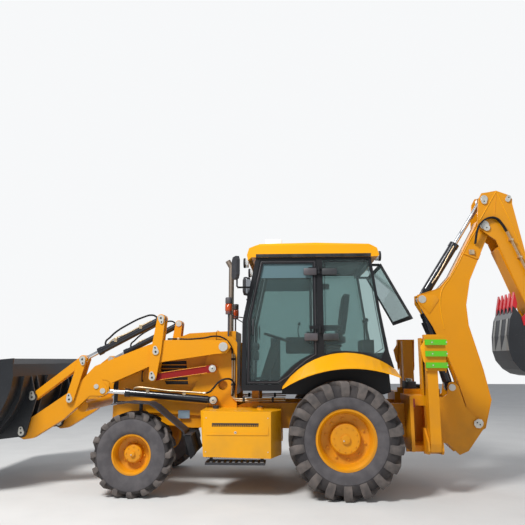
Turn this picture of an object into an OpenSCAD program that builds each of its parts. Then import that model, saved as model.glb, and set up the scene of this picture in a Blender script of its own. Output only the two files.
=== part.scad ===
// Backhoe loader: loader bucket at the front, digging arm at the rear.
// Millimetres. +X is forward, +Y the machine's left side, +Z up. The origin is
// on the ground, half way along the machine. Places below are first given from
// the rear axle (x = 0 under the rear wheels) and moved by x_shift at the end.

/* [Wheels] */
// Distance between the axles
wheelbase = 2495; // [2450:5:2550]
// Rear tyre radius over its lugs
rear_tyre_r = 665; // [640:1:690]
// Rear tyre width
rear_tyre_w = 430; // [380:2:440]
// Rear rim flange radius
rear_rim_r = 350; // [320:1:370]
// Rear wheel centre from the middle of the machine
rear_wheel_y = 885; // [885:1:910]
// Lugs round each half of a rear tyre
rear_lugs = 18; // [14:1:22]
// Front tyre radius over its lugs
front_tyre_r = 482; // [460:1:490]
// Front tyre width
front_tyre_w = 320; // [280:2:330]
// Front rim flange radius
front_rim_r = 232; // [215:1:245]
// Front wheel centre from the middle of the machine
front_wheel_y = 895; // [890:1:905]
// Lugs round each half of a front tyre
front_lugs = 16; // [12:1:20]
// Height of a tread lug
lug_h = 36; // [20:1:45]
// Kingpin of a front wheel from the middle of the machine
kingpin_y = 680; // [670:1:685]

/* [Frame] */
// Underside of the frame rails
rail_z = 720; // [700:1:760]
// Height of a frame rail
rail_h = 250; // [200:1:270]
// Outer face of a frame rail from the middle
rail_y = 420; // [400:1:425]
// Thickness of a frame rail
rail_t = 70; // [50:1:90]
// Front end of the frame
frame_front = 2930; // [2900:5:2960]
// Rear face of the backhoe carriage
frame_rear = -1095; // [-1100:1:-1090]
// Outer face of a loader tower from the middle
tower_y = 457; // [450:1:460]
// Thickness of a loader tower plate
tower_t = 30; // [20:1:36]

/* [Loader planes] */
// Middle plane of a loader arm from the middle of the machine
arm_y = 555; // [553:1:560]
// Thickness of a loader arm
arm_t = 110; // [100:1:116]
// Gap between pieces that swing side by side
side_gap = 6; // [5:0.5:8]
// Thickness of lever and ear plates
lever_t = 25; // [16:1:28]
// Thickness of a front link plate
link_t = 24; // [16:1:26]
// Thickness of a cylinder's eye
eye_t = 50; // [40:1:52]
// Radius of the loader pins
pin_r = 28; // [20:1:32]
// Running clearance round a pin
pin_gap = 0.3; // [0.2:0.05:0.5]

/* [Loader pins, x and z] */
// Arm pivot on the tower
pin_arm = [1482, 1735]; // [1480:1:1740]
// Level link on the tower
pin_level = [1620, 1462]; // [1460:1:1625]
// Lift cylinder on the tower
pin_lift = [1604, 1072]; // [1068:1:1608]
// Lift cylinder's rod on the arm
pin_lift_rod = [3010, 1184]; // [1180:1:3015]
// Levelling lever on the arm
pin_lever = [2340, 1672]; // [1668:1:2344]
// Levelling lever's top, at the bucket cylinder
pin_lever_top = [2286, 2099]; // [2095:1:2290]
// Levelling lever's foot, at the level link
pin_lever_foot = [2374, 1352]; // [1348:1:2378]
// Front lever on the arm
pin_front = [3421, 1080]; // [1076:1:3425]
// Front lever's top
pin_front_top = [3282, 1579]; // [1575:1:3286]
// Upper pin of the loader bucket
pin_bucket_top = [3902, 1106]; // [1102:1:3906]
// Lower pin of the loader bucket
pin_bucket = [4010, 673]; // [670:1:4014]

/* [Backhoe pins, x and z] */
// Swing axis of the backhoe
swing_x = -1270; // [-1280:1:-1262]
// Foot of the boom on the swing post
pin_boom = [-1783, 754]; // [-1790:1:760]
// Boom cylinder on the swing post
pin_boom_cyl = [-1478, 1215]; // [-1485:1:1225]
// Boom cylinder's rod and dipper cylinder's barrel on the boom
pin_boom_mid = [-1164, 2382]; // [-1170:1:2390]
// Dipper on the boom
pin_dipper = [-2046, 3393]; // [-2050:1:3400]
// Dipper cylinder's rod on the dipper
pin_dipper_rod = [-2065, 3767]; // [-2070:1:3770]
// Digging bucket's cylinder on the dipper
pin_dig_cyl = [-2381, 3748]; // [-2386:1:3752]
// Digging bucket on the dipper
pin_dig = [-2750, 1714]; // [-2754:1:1718]

/* [Backhoe] */
// Thickness of the boom
boom_t = 190; // [180:2:200]
// Outer width of the dipper head
dipper_w = 310; // [300:2:320]
// Thickness of a dipper side plate
dipper_t = 22; // [16:1:24]
// Width of the digging bucket
dig_w = 600; // [560:5:640]
// Radius of the backhoe pins
hoe_pin_r = 30; // [24:1:34]
// Radius of a backhoe cylinder's barrel
hoe_barrel_r = 62; // [56:1:64]
// Radius of a backhoe cylinder's rod
hoe_rod_r = 32; // [26:1:34]

/* [Loader bucket] */
// Width of the loader bucket
bucket_w = 2200; // [2160:10:2240]
// Plate thickness of the loader bucket
bucket_t = 14; // [10:1:16]
// Reach of the bucket's floor from its lower pin
bucket_reach = 900; // [860:5:940]
// Height of the bucket's back
bucket_back = 817; // [800:1:830]

/* [Cab] */
// Height of the cab floor's underside
cab_z = 1195; // [1190:1:1200]
// Height of the cab under its roof
cab_top = 2865; // [2850:1:2890]
// Outer face of the cab's side from the middle
cab_y = 705; // [700:1:708]
// Thickness of the cab's posts and walls
wall_t = 50; // [40:1:56]
// Thickness of the glass panes
glass_t = 8; // [6:1:10]
// Gap between a door and its frame
door_gap = 6; // [5:0.5:8]
// Height of the roof
roof_h = 190; // [170:1:200]

/* [Bonnet] */
// Half width of the bonnet
bonnet_y = 400; // [390:1:405]
// Thickness of the bonnet's sheet
bonnet_t = 12; // [8:1:16]

/* [Stabilisers] */
// Pivot of a stabiliser leg from the middle
leg_y = 780; // [775:1:780]
// Pivot height of a stabiliser leg
leg_z = 560; // [550:1:570]
// Length of a stabiliser leg from pivot to pad
leg_len = 1300; // [1290:2:1310]
// Middle of the stabiliser legs along the machine
leg_x = -1060; // [-1064:1:-1056]
// Width of a stabiliser leg along the machine
leg_w = 124; // [122:1:128]

/* [Hidden] */
$fn = 48;
// points on the dipper: a up from the bucket's pin, b across and rearwards
dig_axis = ang(pin_dig, pin_dipper);
function hoe(a, b) = add(pin_dig, [a * cos(dig_axis) - b * sin(dig_axis), a * sin(dig_axis) + b * cos(dig_axis)]);
pin_rocker = hoe(330, 60);
pin_rocker_tip = hoe(60, 170);
pin_dig_link = hoe(-260, -20);
tip_eye_r = 52;
x_front = pin_bucket[0] + bucket_reach;
x_rear = pin_rocker_tip[0] - tip_eye_r;   // the bucket rod's eye stands furthest back
x_shift = -(x_front + x_rear) / 2;

lever_in = arm_t / 2 + side_gap;          // arm's middle plane to a side plate
lever_out = lever_in + lever_t;
link_in = eye_t / 2 + side_gap;           // and to a front link plate
rail_top = rail_z + rail_h;
tower_face = tower_y;

function sub(a, b) = [a[0] - b[0], a[1] - b[1]];
function add(a, b) = [a[0] + b[0], a[1] + b[1]];
function len2(a) = sqrt(a[0] * a[0] + a[1] * a[1]);
function ang(a, b) = atan2(b[1] - a[1], b[0] - a[0]);
function along(a, b, d) = add(a, [d * cos(ang(a, b)), d * sin(ang(a, b))]);
function turned(c, p, t) = add(c, [(p[0] - c[0]) * cos(t) - (p[1] - c[1]) * sin(t),
                                   (p[0] - c[0]) * sin(t) + (p[1] - c[1]) * cos(t)]);

// Everything is drawn from the rear axle, then moved to the shared origin.
module placed() { translate([x_shift, 0, 0]) children(); }
module both() { children(); mirror([0, 1, 0]) children(); }
// A shape in the x-z plane, from y0 to y1.
module slab(y0, y1) { translate([0, y1, 0]) rotate([90, 0, 0]) linear_extrude(y1 - y0) children(); }
module disc(p, r, y0, y1) { slab(y0, y1) translate(p) circle(r); }
module at2(p) { translate(p) children(); }
// Outline of a bar round two points, with its own radius at each end.
module bar2(a, b, ra, rb) {
    d = len2(sub(b, a));
    t = ang(a, b);
    c = acos((ra - rb) / d);
    translate(a) circle(ra);
    translate(b) circle(rb);
    polygon([
        add(a, [ra * cos(t + c), ra * sin(t + c)]),
        add(b, [rb * cos(t + c), rb * sin(t + c)]),
        add(b, [rb * cos(t - c), rb * sin(t - c)]),
        add(a, [ra * cos(t - c), ra * sin(t - c)])
    ]);
}
// Pin cover: a small bar-shaped cap with the pin's head on it.
module pin_cap(p, t, y0, y1, r) {
    slab(y0, y1) bar2(p, add(p, [r * 2 * cos(t), r * 2 * sin(t)]), r * 1.5, r * 0.9);
}

// Hydraulic cylinder in the x-z plane at plane yc: barrel from eye a towards b.
module barrel(a, b, length, r, rod_r, yc, eye_w, eye_r, bore_r) {
    t = ang(a, b);
    translate([a[0], yc, a[1]]) rotate([0, -t, 0]) difference() {
        union() {
            rotate([90, 0, 0]) cylinder(r = eye_r, h = eye_w, center = true);
            translate([eye_r * 0.5, -eye_w / 2, -r * 0.85]) cube([eye_r * 0.5 + 20, eye_w, r * 1.7]);
            translate([eye_r + 16, 0, 0]) rotate([0, 90, 0]) cylinder(r = r, h = length - eye_r - 16);
            translate([length - 60, 0, 0]) rotate([0, 90, 0]) cylinder(r = r + 7, h = 60);
        }
        rotate([90, 0, 0]) cylinder(r = bore_r, h = 3 * r + eye_w, center = true);
        translate([eye_r + 40, 0, 0]) rotate([0, 90, 0]) cylinder(r = rod_r + pin_gap, h = length);
    }
}
// Its rod, with a solid eye at b, which carries its own pin.
module rod(b, a, length, rod_r, yc, eye_w, eye_r) {
    t = ang(b, a);
    translate([b[0], yc, b[1]]) rotate([0, -t, 0]) {
        rotate([90, 0, 0]) cylinder(r = eye_r, h = eye_w, center = true);
        translate([eye_r * 0.6, 0, 0]) rotate([0, 90, 0]) cylinder(r = rod_r, h = length - eye_r * 0.6);
    }
}

// ---- Wheels ----
// Tread lug: outline along the bar and outwards, wrapping over the shoulder.
module lug(r, half, skew, bar, h, side) {
    // its furthest corner reaches the tyre's radius
    reach = (half - 48) * sin(skew) + bar / 2 * cos(skew);
    top = sqrt(r * r - reach * reach);
    rotate([0, 0, skew]) translate([-bar / 2, 0, 0]) rotate([90, 0, 90]) linear_extrude(bar)
        polygon([[-30, r - h - 30], [-30, top], [half - 48, top], [half - 8, r - h * 1.4],
                 [half + 6, r - side], [half - 40, r - side], [half - 60, r - h - 30]]);
}
module tyre(r, w, rim_r, count, skew, bar, side) {
    h = lug_h;
    c = r - h;
    rotate([90, 0, 0]) {
        rotate_extrude($fn = 64) polygon([
            [rim_r + 1, -w * 0.40], [rim_r + 26, -w * 0.44], [r - side, -w * 0.49],
            [c - 34, -w * 0.47], [c - 6, -w * 0.33], [c, 0], [c - 6, w * 0.33], [c - 34, w * 0.47],
            [r - side, w * 0.49], [rim_r + 26, w * 0.44], [rim_r + 1, w * 0.40]]);
    }
    // turned so that a corner of one lug stands on the ground
    phase = 180 + asin(((w / 2 - 56) * sin(skew) + bar / 2 * cos(skew)) / r);
    for (m = [0, 1]) mirror([0, m, 0])
        for (i = [0:count - 1]) rotate([0, phase + (i + m / 2) * 360 / count, 0])
            lug(r, w / 2 - 8, skew, bar, h, side);
}
module rim(r, w, hub_r, hub_out, disc_y, bore_r) {
    rotate([-90, 0, 0]) rotate_extrude($fn = 96) polygon([
        [bore_r, disc_y - 30], [r * 0.62, disc_y - 18], [r * 0.80, -w * 0.10], [r * 0.86, -w * 0.40],
        [r + 0.5, -w * 0.40], [r + 0.5, -w * 0.37], [r * 0.92, -w * 0.30], [r * 0.92, w * 0.30],
        [r + 0.5, w * 0.37], [r + 0.5, w * 0.40], [r * 0.93, w * 0.40], [r * 0.86, w * 0.30],
        [r * 0.80, disc_y + 10], [r * 0.62, disc_y], [hub_r + 6, disc_y - 6], [hub_r, hub_out - 12], [hub_r - 14, hub_out],
        [0, hub_out], [0, hub_out - 30], [bore_r, hub_out - 30]]);
}
module at_rear(s) { translate([0, s * rear_wheel_y, rear_tyre_r]) mirror([0, s < 0 ? 1 : 0, 0]) children(); }
module at_front(s) { translate([wheelbase, s * front_wheel_y, front_tyre_r]) mirror([0, s < 0 ? 1 : 0, 0]) children(); }
module rear_tyre(s) { at_rear(s) tyre(rear_tyre_r, rear_tyre_w, rear_rim_r, rear_lugs, 38, 52, 150); }
module rear_rim(s) { at_rear(s) rim(rear_rim_r, rear_tyre_w, 175, 90, 20, rear_stub_r + pin_gap); }
module front_tyre(s) { at_front(s) tyre(front_tyre_r, front_tyre_w, front_rim_r, front_lugs, 20, 62, 95); }
module front_rim(s) { at_front(s) rim(front_rim_r, front_tyre_w, 105, 60, -10, front_stub_r + pin_gap); }
rear_stub_r = 70;
front_stub_r = 48;

module axles() {
    // rear axle: centre housing, tubes, flanges and the stubs in the wheels
    both() {
        translate([0, 0, rear_tyre_r]) rotate([-90, 0, 0]) {
            cylinder(r1 = 210, r2 = 120, h = 190);
            cylinder(r = 95, h = rear_wheel_y - rear_tyre_w / 2 - 60);
            translate([0, 0, rear_wheel_y - rear_tyre_w / 2 - 110]) cylinder(r = 165, h = 100);
            cylinder(r = rear_stub_r, h = rear_wheel_y + 55);
        }
        translate([-90, rail_y - rail_t, rear_tyre_r]) cube([180, rail_t, rail_z + 52 - rear_tyre_r]);
    }
    // front axle: beam, centre pivot boss and the kingpin eyes
    both() {
        translate([wheelbase, 0, front_tyre_r]) rotate([-90, 0, 0]) {
            cylinder(r1 = 150, r2 = 80, h = 150);
            cylinder(r = 62, h = kingpin_y - 60);
        }
        difference() {
            translate([wheelbase, kingpin_y, front_tyre_r]) cylinder(r = 62, h = 130, center = true);
            translate([wheelbase, kingpin_y, front_tyre_r]) cylinder(r = 22 + pin_gap, h = 200, center = true);
        }
    }
    translate([wheelbase - 150, -70, front_tyre_r]) cube([300, 140, rail_z - front_tyre_r]);
}
// Steering knuckle: fork over the beam's eye, kingpin and wheel stub.
module knuckle(s) {
    translate([wheelbase, 0, front_tyre_r]) mirror([0, s < 0 ? 1 : 0, 0]) {
        translate([0, kingpin_y, 0]) {
            cylinder(r = 22, h = 190, center = true);
            for (z = [-95, 66]) translate([0, 0, z]) cylinder(r = 60, h = 29);
            for (z = [-95, 66]) translate([-50, 0, z]) cube([100, 96, 29]);
            translate([-60, 70, -95]) cube([120, 30, 190]);
        }
        translate([0, kingpin_y + 90, 0]) rotate([-90, 0, 0]) {
            cylinder(r = 90, h = 24);
            cylinder(r = front_stub_r, h = front_wheel_y + 28 - kingpin_y - 90);
        }
    }
}

// ---- Frame ----
module main_frame() {
    w = rail_y - rail_t - seam;
    both() {
        // side rail with its nose raked
        union() {
            slab(rail_y - rail_t, rail_y) polygon([
                [frame_rear + 300 + seam, rail_z - 100], [-500, rail_z], [-200, rail_z], [-150, rail_z + 52], [150, rail_z + 52],
                [200, rail_z], [1900, rail_z], [2300, rail_z + 40],
                [frame_front, rail_z + 85], [frame_front, rail_top + 20], [2600, rail_top + 70],
                [1300, rail_top + 30], [1200, rail_top + 60], [frame_rear + 300 + seam, rail_top + 60]]);
        }
        // loader tower plate
        slab(tower_y - tower_t, tower_y) difference() {
            polygon([[1320, rail_top - 20], [1320, 1790], [1390, 1870], [1560, 1870], [1680, 1720],
                     [1760, 1420], [1900, 1180], [2420, 1060], [2500, rail_top + 10], [2480, rail_top - 60],
                     [1700, rail_top - 100]]);
            translate([1500, 1250]) circle(60);
        }
        // tower foot, which ties the plate to the rail
        slab(rail_y + seam, tower_y - tower_t) polygon([[1320, rail_top - 20], [2480, rail_top - 20], [2480, rail_top - 60],
                                           [1700, rail_top - 100], [1320, rail_top - 100]]);
        // pins of the arm, level link and lift cylinder
        disc(pin_arm, pin_r * 1.25, tower_y - tower_t, arm_y + arm_t / 2 + 12);
        disc(pin_arm, pin_r * 2, arm_y + arm_t / 2 + side_gap, arm_y + arm_t / 2 + 22);
        disc(pin_level, pin_r, tower_y - tower_t, arm_y + eye_t / 2 + 12);
        disc(pin_level, pin_r * 1.6, arm_y + eye_t / 2 + side_gap, arm_y + eye_t / 2 + 20);
        disc(pin_lift, pin_r, tower_y - tower_t, arm_y + eye_t / 2 + 12);
        disc(pin_lift, pin_r * 1.6, arm_y + eye_t / 2 + side_gap, arm_y + eye_t / 2 + 20);
        // spacer bosses between tower and eyes
        disc(pin_level, pin_r * 1.6, tower_y, arm_y - eye_t / 2 - side_gap);
        disc(pin_lift, pin_r * 1.6, tower_y, arm_y - eye_t / 2 - side_gap);
    }
    // cross members
    for (x = [-700, -330, 760, 1420, 2700])
        translate([x, -w, rail_z + 60]) cube([90, 2 * w, 140]);
    translate([2700, -w, rail_top + 8]) cube([frame_front - 2705, 2 * w, 12]);
    // tow jaws on the nose, with the hole for a drop pin
    for (z = [rail_z + 120, rail_top + 2]) difference() {
        translate([frame_front - 45, -70, z]) cube([105, 140, 18]);
        translate([frame_front + 26, 0, z - 1]) cylinder(r = tow_hole_r, h = 20);
    }
    // mounts under the cab's floor and under its wheel arches
    both() translate([1040, rail_y - rail_t, rail_top + 60 + seam]) cube([90, rail_t, cab_z - 2 * seam - rail_top - 60]);
    both() translate([-450, rail_y - rail_t, rail_top + 60 + seam]) cube([100, arch_y - rail_y + rail_t, cab_z - 45 - 2 * seam - rail_top - 60]);
    // saddle over the front axle's pivot, and the pad under the grille
    translate([wheelbase - 150, -w, rail_z]) cube([300, 2 * w, 130]);
    translate([frame_front - 260, -w, rail_z + 120]) cube([240, 2 * w, 60]);
    // cowl between bonnet and cab, open below
    difference() {
        slab(-bonnet_y, bonnet_y) polygon([[1345, 1120], [1345, 1944], [1598, 1936], [1598, 1120]]);
        slab(-bonnet_y + bonnet_t, bonnet_y - bonnet_t) polygon([[1357, 1100], [1357, 1932], [1599, 1924], [1599, 1100]]);
        translate([exhaust_x, exhaust_y, 1800]) cylinder(r = exhaust_r + 12, h = 300);
    }
    both() {
        // brackets of the bonnet's hinge, with its pin
        for (y = [150, 250]) slab(y, y + 14) polygon(concat([[1570, 1930], [1597, 1930]],
            [for (a = [-40:20:120]) add(bonnet_hinge, [11 * cos(a), 11 * sin(a)])]));
        disc(bonnet_hinge, 6, 150, 264);
    }
    both() translate([1345, bonnet_y - bonnet_t, rail_top + 39.5]) cube([253, bonnet_t, 160]);
    both() translate([1360, bonnet_y + seam, 1500]) cube([180, tower_y - tower_t - bonnet_y + 1, 60]);
    // backhoe carriage: box across the rear, stabiliser columns and swing eyes
    both() {
        translate([frame_rear + 260, 200, 500]) cube([40, 560, 640]);
        translate([frame_rear + 40 + seam, 230 + seam, 1020]) cube([220 - 2 * seam, 390, 120]);
        translate([frame_rear + 40 + seam, 230 + seam, 480]) cube([220 - 2 * seam, 370 - 2 * seam, 70]);
    }
    carriage();
}
seam = 0.3;      // between members of the frame and of the cab
tow_hole_r = 16;
exhaust_x = 1480;
exhaust_y = -230;
exhaust_r = 38;
module carriage() {
    // rear plate in the middle, with the two eyes that hold the swing post
    difference() {
        union() {
            translate([frame_rear, -360, 420]) cube([40, 720, 780]);
            for (z = swing_eyes) {
                translate([swing_x, 0, z]) cylinder(r = 85, h = swing_eye_h);
                translate([swing_x, -85, z]) cube([frame_rear - swing_x + 1, 170, swing_eye_h]);
            }
        }
        translate([swing_x, 0, 0]) cylinder(r = swing_pin_r + pin_gap, h = 2000);
    }
    both() translate([frame_rear + 40 + seam, 200, 420]) cube([220 - 2 * seam, 30, 780]);
    // stabiliser column, open towards the leg, with its top pin
    both() {
        for (x = [leg_x - 72, leg_x + 56]) translate([x, 500, 1140 + seam]) cube([16, 110, 700]);
        translate([leg_x - 72, 484, 1140 + seam]) cube([144, 16, 700]);
        translate([leg_x, column_y, column_z]) rotate([0, 90, 0]) cylinder(r = 20, h = 130, center = true);
        // fork for the leg's foot
        for (x = [leg_x - leg_w / 2 - side_gap - 24, leg_x + leg_w / 2 + side_gap])
            translate([x, 0, 0]) rotate([90, 0, 90]) linear_extrude(24)
                polygon([[600, 460], [leg_y + 30, 480], [leg_y + 60, 520], [leg_y + 40, 620], [670, 760], [600, 760]]);
        translate([leg_x - leg_w / 2 - side_gap - 24, 600, 460]) cube([leg_w + 2 * side_gap + 48, 20, 300]);
        translate([leg_x, leg_y, leg_z]) rotate([0, 90, 0]) cylinder(r = 26, h = leg_w + 2 * side_gap + 20, center = true);
    }
}
swing_eyes = [430, 1110];
swing_eye_h = 80;
swing_pin_r = 45;
column_y = 560;
column_z = 1780;

// ---- Engine, bonnet and front ----
module engine() {
    // plain block with its exhaust stack
    translate([1640, -230, rail_z + 130.3]) cube([820, 460, 630]);
    translate([exhaust_x, exhaust_y, 1330]) cylinder(r = 70, h = 420);
    translate([exhaust_x, exhaust_y - 40, 1340]) cube([170, 80, 90]);
    translate([exhaust_x, exhaust_y, 1740]) cylinder(r = exhaust_r, h = 1190);
    translate([exhaust_x, exhaust_y, 2900]) rotate([0, 30, 0]) cylinder(r = exhaust_r, h = 110);
}
bonnet_hinge = [1606, 1950];
bonnet_side = [[1606, rail_top + 76], [2878, rail_top + 76], [2878, 1400], [2850, 1500], [2740, 1600], [1960, 1915], [1606, 1934]];
module bonnet() {
    difference() {
        slab(-bonnet_y, bonnet_y) polygon(bonnet_side);
        slab(-bonnet_y + bonnet_t, bonnet_y - bonnet_t) polygon(inset(bonnet_side, bonnet_t));
        // open below, at the back and towards the grille
        translate([1620, -bonnet_y + bonnet_t, 1000]) cube([1246, 2 * (bonnet_y - bonnet_t), 70]);
        translate([1600, -bonnet_y + bonnet_t, 1000]) cube([40, 2 * (bonnet_y - bonnet_t), 900]);
        translate([2860, -bonnet_y + bonnet_t, 1000]) cube([40, 2 * (bonnet_y - bonnet_t), 380]);
        // vent in each side
        slab(-bonnet_y - 1, bonnet_y + 1) polygon([[1960, 1256], [2250, 1256], [2370, 1545], [1990, 1560]]);
    }
    // louvre bars across the vents
    both() for (z = [1300:50:1500])
        translate([1950 + (z - 1256) * 0.1, bonnet_y - bonnet_t, z]) cube([330 + (z - 1300) * 0.2, 6, 12]);
    // hinge leaf
    both() difference() {
        union() {
            disc(bonnet_hinge, 11, 170, 244);
            slab(170, 244) polygon([[1608, 1926], [1700, 1921], [1700, 1937], [1630, 1940], [1614, 1957], [1600, 1942]]);
        }
        disc(bonnet_hinge, 6 + pin_gap, 100, 300);
    }
}
module front_grille() {
    // opens with the bonnet
    difference() {
        translate([2878.3, -bonnet_y, rail_top + 40]) cube([51.7, 2 * bonnet_y, 400]);
        for (z = [0:6]) translate([2896, -bonnet_y + 40, rail_top + 75 + z * 48]) cube([40, 2 * bonnet_y - 80, 26]);
        both() translate([2896, 300, rail_top + 250]) rotate([0, 90, 0]) cylinder(r = 76, h = 50);
    }
    // headlamps in its face
    both() translate([2896, 300, rail_top + 250]) rotate([0, 90, 0]) cylinder(r = 68, h = 58);
}
module front_mudguards() {
    both() {
        slab(front_wheel_y - 165, front_wheel_y + 155) polygon([
            [2756, 1048], [2756, 1058], [2560, 1078], [2298, 1066], [2230, 1030], [1876, 752], [1862, 700],
            [1872, 700], [1886, 744], [2238, 1020], [2302, 1055], [2560, 1067]]);
        // bracket, which passes under the lowered lift cylinder
        translate([2480, rail_y + seam, 790]) cube([40, 240 - seam, 36]);
        translate([2480, 628, 790]) cube([40, 32, 275]);
        translate([2480, 628, 1050]) cube([40, front_wheel_y - 620, 16]);
    }
}

// ---- Cab ----
fender_c = [-57, 692];
fender_r = 966;
lip_c = [-90, -36];
lip_r = 1504;
function on_circle(c, r, x) = c[1] + sqrt(r * r - (x - c[0]) * (x - c[0]));
function inset(p, d) = [for (i = [0:len(p) - 1]) let (
    a = p[(i + len(p) - 1) % len(p)], b = p[i], c = p[(i + 1) % len(p)],
    u = sub(b, a) / len2(sub(b, a)), v = sub(c, b) / len2(sub(c, b)),
    n = [-u[1], u[0]], m = [-v[1], v[0]]) b + d * (n + m) / (1 + n * m)];
arch_gap = 22;   // from the fender's top to the openings above it
arch_n = 14;
arch_xs = [for (i = [0:arch_n]) 732 - i * (732 + 649) / arch_n];
cab_side = concat([[755, cab_z], [1240, cab_z], [1232, 2050], [1062, cab_top], [-400, cab_top], [-493, 2184],
    [-583, 1660], [-640, 1470]], [for (i = [arch_n - 1:-1:0]) [arch_xs[i], on_circle(fender_c, fender_r, arch_xs[i])]]);
door_side = concat([[762, 1270], [1183, 1270], [1174, 2055], [1010, cab_top - 35], [292, cab_top - 35]],
    [for (x = [292:77:715]) [x, on_circle(fender_c, fender_r + arch_gap, x)]]);
quarter_side = concat([[215, cab_top - 35], [-370, cab_top - 35], [-462, 2184], [-538, 1690]],
    [for (x = [-480:115:215]) [x, on_circle(fender_c, fender_r + arch_gap, x)]]);
rear_open_tilt = 28;       // how far the rear window stands open
rear_window = [-496, 2777];

module cab_frame() {
    both() difference() {
        slab(cab_y - wall_t, cab_y) polygon(cab_side);
        slab(cab_y - wall_t - 1, cab_y + 1) polygon(door_side);
        slab(cab_y - wall_t - 1, cab_y + 1) polygon(quarter_side);
    }
    w = cab_y - wall_t - seam;
    // windscreen frame: scuttle, header and pillars behind the side posts
    slab(-w, w) polygon([[1195 + seam, cab_z], [1240, cab_z], [1239, 1470], [1195 + seam, 1470]]);
    slab(-w, w) polygon([[1022, cab_top - 90], [1079, cab_top - 90], [1062, cab_top], [1000, cab_top]]);
    // rear: header and low wall
    slab(-w, w) polygon([[-400, cab_top], [-340, cab_top], [-348, cab_top - 80], [-411, cab_top - 80]]);
    slab(-w, w) polygon([[-583, 1660], [-596, 1550 + seam], [-545, 1550 + seam], [-535, 1660]]);
    slab(-arch_y, arch_y) polygon([[-590, 1550], [-600, 1500], [-560, 1470], [-540, 1470], [-545, 1550]]);
    // floor, and the inner wheel arches that it steps up over
    slab(-w, w) polygon([[740, cab_z], [1195, cab_z], [1195, cab_z + 45], [760, cab_z + 45]]);
    slab(-arch_y, arch_y) polygon(concat(
        [for (x = [740:-floor_step:-600]) [x, floor_knot(x)]],
        [for (x = [-600:120:740]) [x, on_circle(fender_c, fender_r - 4, x) - 60]]));
    both() slab(arch_y - 20, arch_y) polygon(concat([[740, 1150], [740, 1205]],
        [for (x = [740:-120:-600]) [x, on_circle(fender_c, fender_r - 4, x) - 20]], [[-600, 1180], [-500, 1150]]));
    both() slab(arch_y - 20, w) polygon([[740, cab_z], [760, cab_z], [760, cab_z + 45], [740, cab_z + 45]]);
    // rear window frame, stood open on its top hinge
    translate([rear_window[0] - 20, 0, rear_window[1]]) rotate([0, rear_open_tilt, 0]) difference() {
        translate([-26, -w + 30, -800]) cube([26, 2 * w - 60, 800]);
        translate([-30, -w + 75, -750]) cube([40, 2 * w - 150, 705]);
    }
    both() translate([rear_window[0] - 30, w - 120, rear_window[1] - 10]) cube([130, 50, 26]);
    // hinge posts on the middle pillar, for the door
    both() for (z = hinge_z) translate([hinge_x, hinge_y, z - 55]) {
        difference() { union() { cylinder(r = 20, h = 40); translate([-60, -hinge_y + cab_y, 0]) cube([60, 20, 40]); }
            translate([0, 0, -1]) cylinder(r = 9 + pin_gap, h = 60); }
    }
    // mirror arms with their heads
    both() {
        translate([1110, cab_y - 8, 2469]) cube([191, 16, 22]);
        translate([1290, cab_y - 8, 2480]) rotate([-90, 0, 0]) cylinder(r = 11, h = 170);
        translate([1290, cab_y + 150, 2470]) cylinder(r = 11, h = 200);
        translate([1306, cab_y + 165, 2705]) rotate([0, 0, 25]) translate([-22, 0, 0]) rotate([90, 0, 90]) linear_extrude(44)
            polygon([[-95, -90], [-60, -143], [60, -143], [95, -90], [95, 90], [60, 143], [-60, 143], [-95, 90]]);
    }
}
arch_y = 640;
hinge_x = 262;
hinge_y = cab_y + 24;
hinge_z = [1960, 2700];

module cab_glass() {
    y0 = cab_y - wall_t / 2 - glass_t / 2;
    both() slab(y0, y0 + glass_t) polygon(inset(quarter_side, 0.2));
    w = cab_y - wall_t - 0.2;
    slab(-w, w) polygon([[1206, 1470.2], [1214, 1470.2], [1206, 2045], [1053, cab_top - 90.2], [1044, cab_top - 90.2], [1198, 2045]]);
    translate([rear_window[0] - 20, 0, rear_window[1]]) rotate([0, rear_open_tilt, 0])
        translate([-17, -w + 75.2, -749.8]) cube([8, 2 * w - 150.4, 704.6]);
}
module cab_roof() {
    y = cab_y + 25;
    difference() {
        slab(-y, y) polygon([[-490, cab_top + 0.2], [1120, cab_top + 0.2], [1165, cab_top - 40], [1178, cab_top + 30], [1150, cab_top + 120],
            [1010, cab_top + roof_h - 12], [300, cab_top + roof_h], [-380, cab_top + roof_h - 25], [-480, cab_top + 110], [-505, cab_top + 20]]);
        both() translate([-700, y - 2, cab_top + roof_h - 40]) rotate([35, 0, 0]) cube([2200, 120, 120]);
        slab(-y + 60, y - 60) polygon([[-420, cab_top - 1], [1050, cab_top - 1], [1000, cab_top + roof_h - 60], [-350, cab_top + roof_h - 80]]);
    }
}
module rear_fenders() {
    n = arch_n;
    xs = arch_xs;
    function out_y(i) = cab_y + 22 + (rear_wheel_y + 160 - cab_y - 22) * sqrt(sin(min(90, 12 + i * 90 / (n * 0.62))));
    function ring(i, x) = let (zt = on_circle(fender_c, fender_r, x) - 0.5, zl = min(zt - 6, on_circle(lip_c, lip_r, x)), yo = out_y(i)) [
        [x, arch_y + 0.2, zt], [x, cab_y + 18, zt], [x, yo, zl + 14], [x, yo, zl],
        [x, yo - 12, zl], [x, yo - 14, zl + 6], [x, cab_y + 12, zt - 12], [x, arch_y + 0.2, zt - 12]];
    m = 8;
    both() polyhedron(
        points = [for (i = [0:n]) for (p = ring(i, xs[i])) p],
        faces = concat([[for (j = [0:m - 1]) j]], [[for (j = [m - 1:-1:0]) n * m + j]],
            [for (i = [0:n - 1]) for (j = [0:m - 1]) [i * m + (j + 1) % m, i * m + j, (i + 1) * m + j]],
            [for (i = [0:n - 1]) for (j = [0:m - 1]) [i * m + (j + 1) % m, (i + 1) * m + j, (i + 1) * m + (j + 1) % m]]));
}
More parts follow.
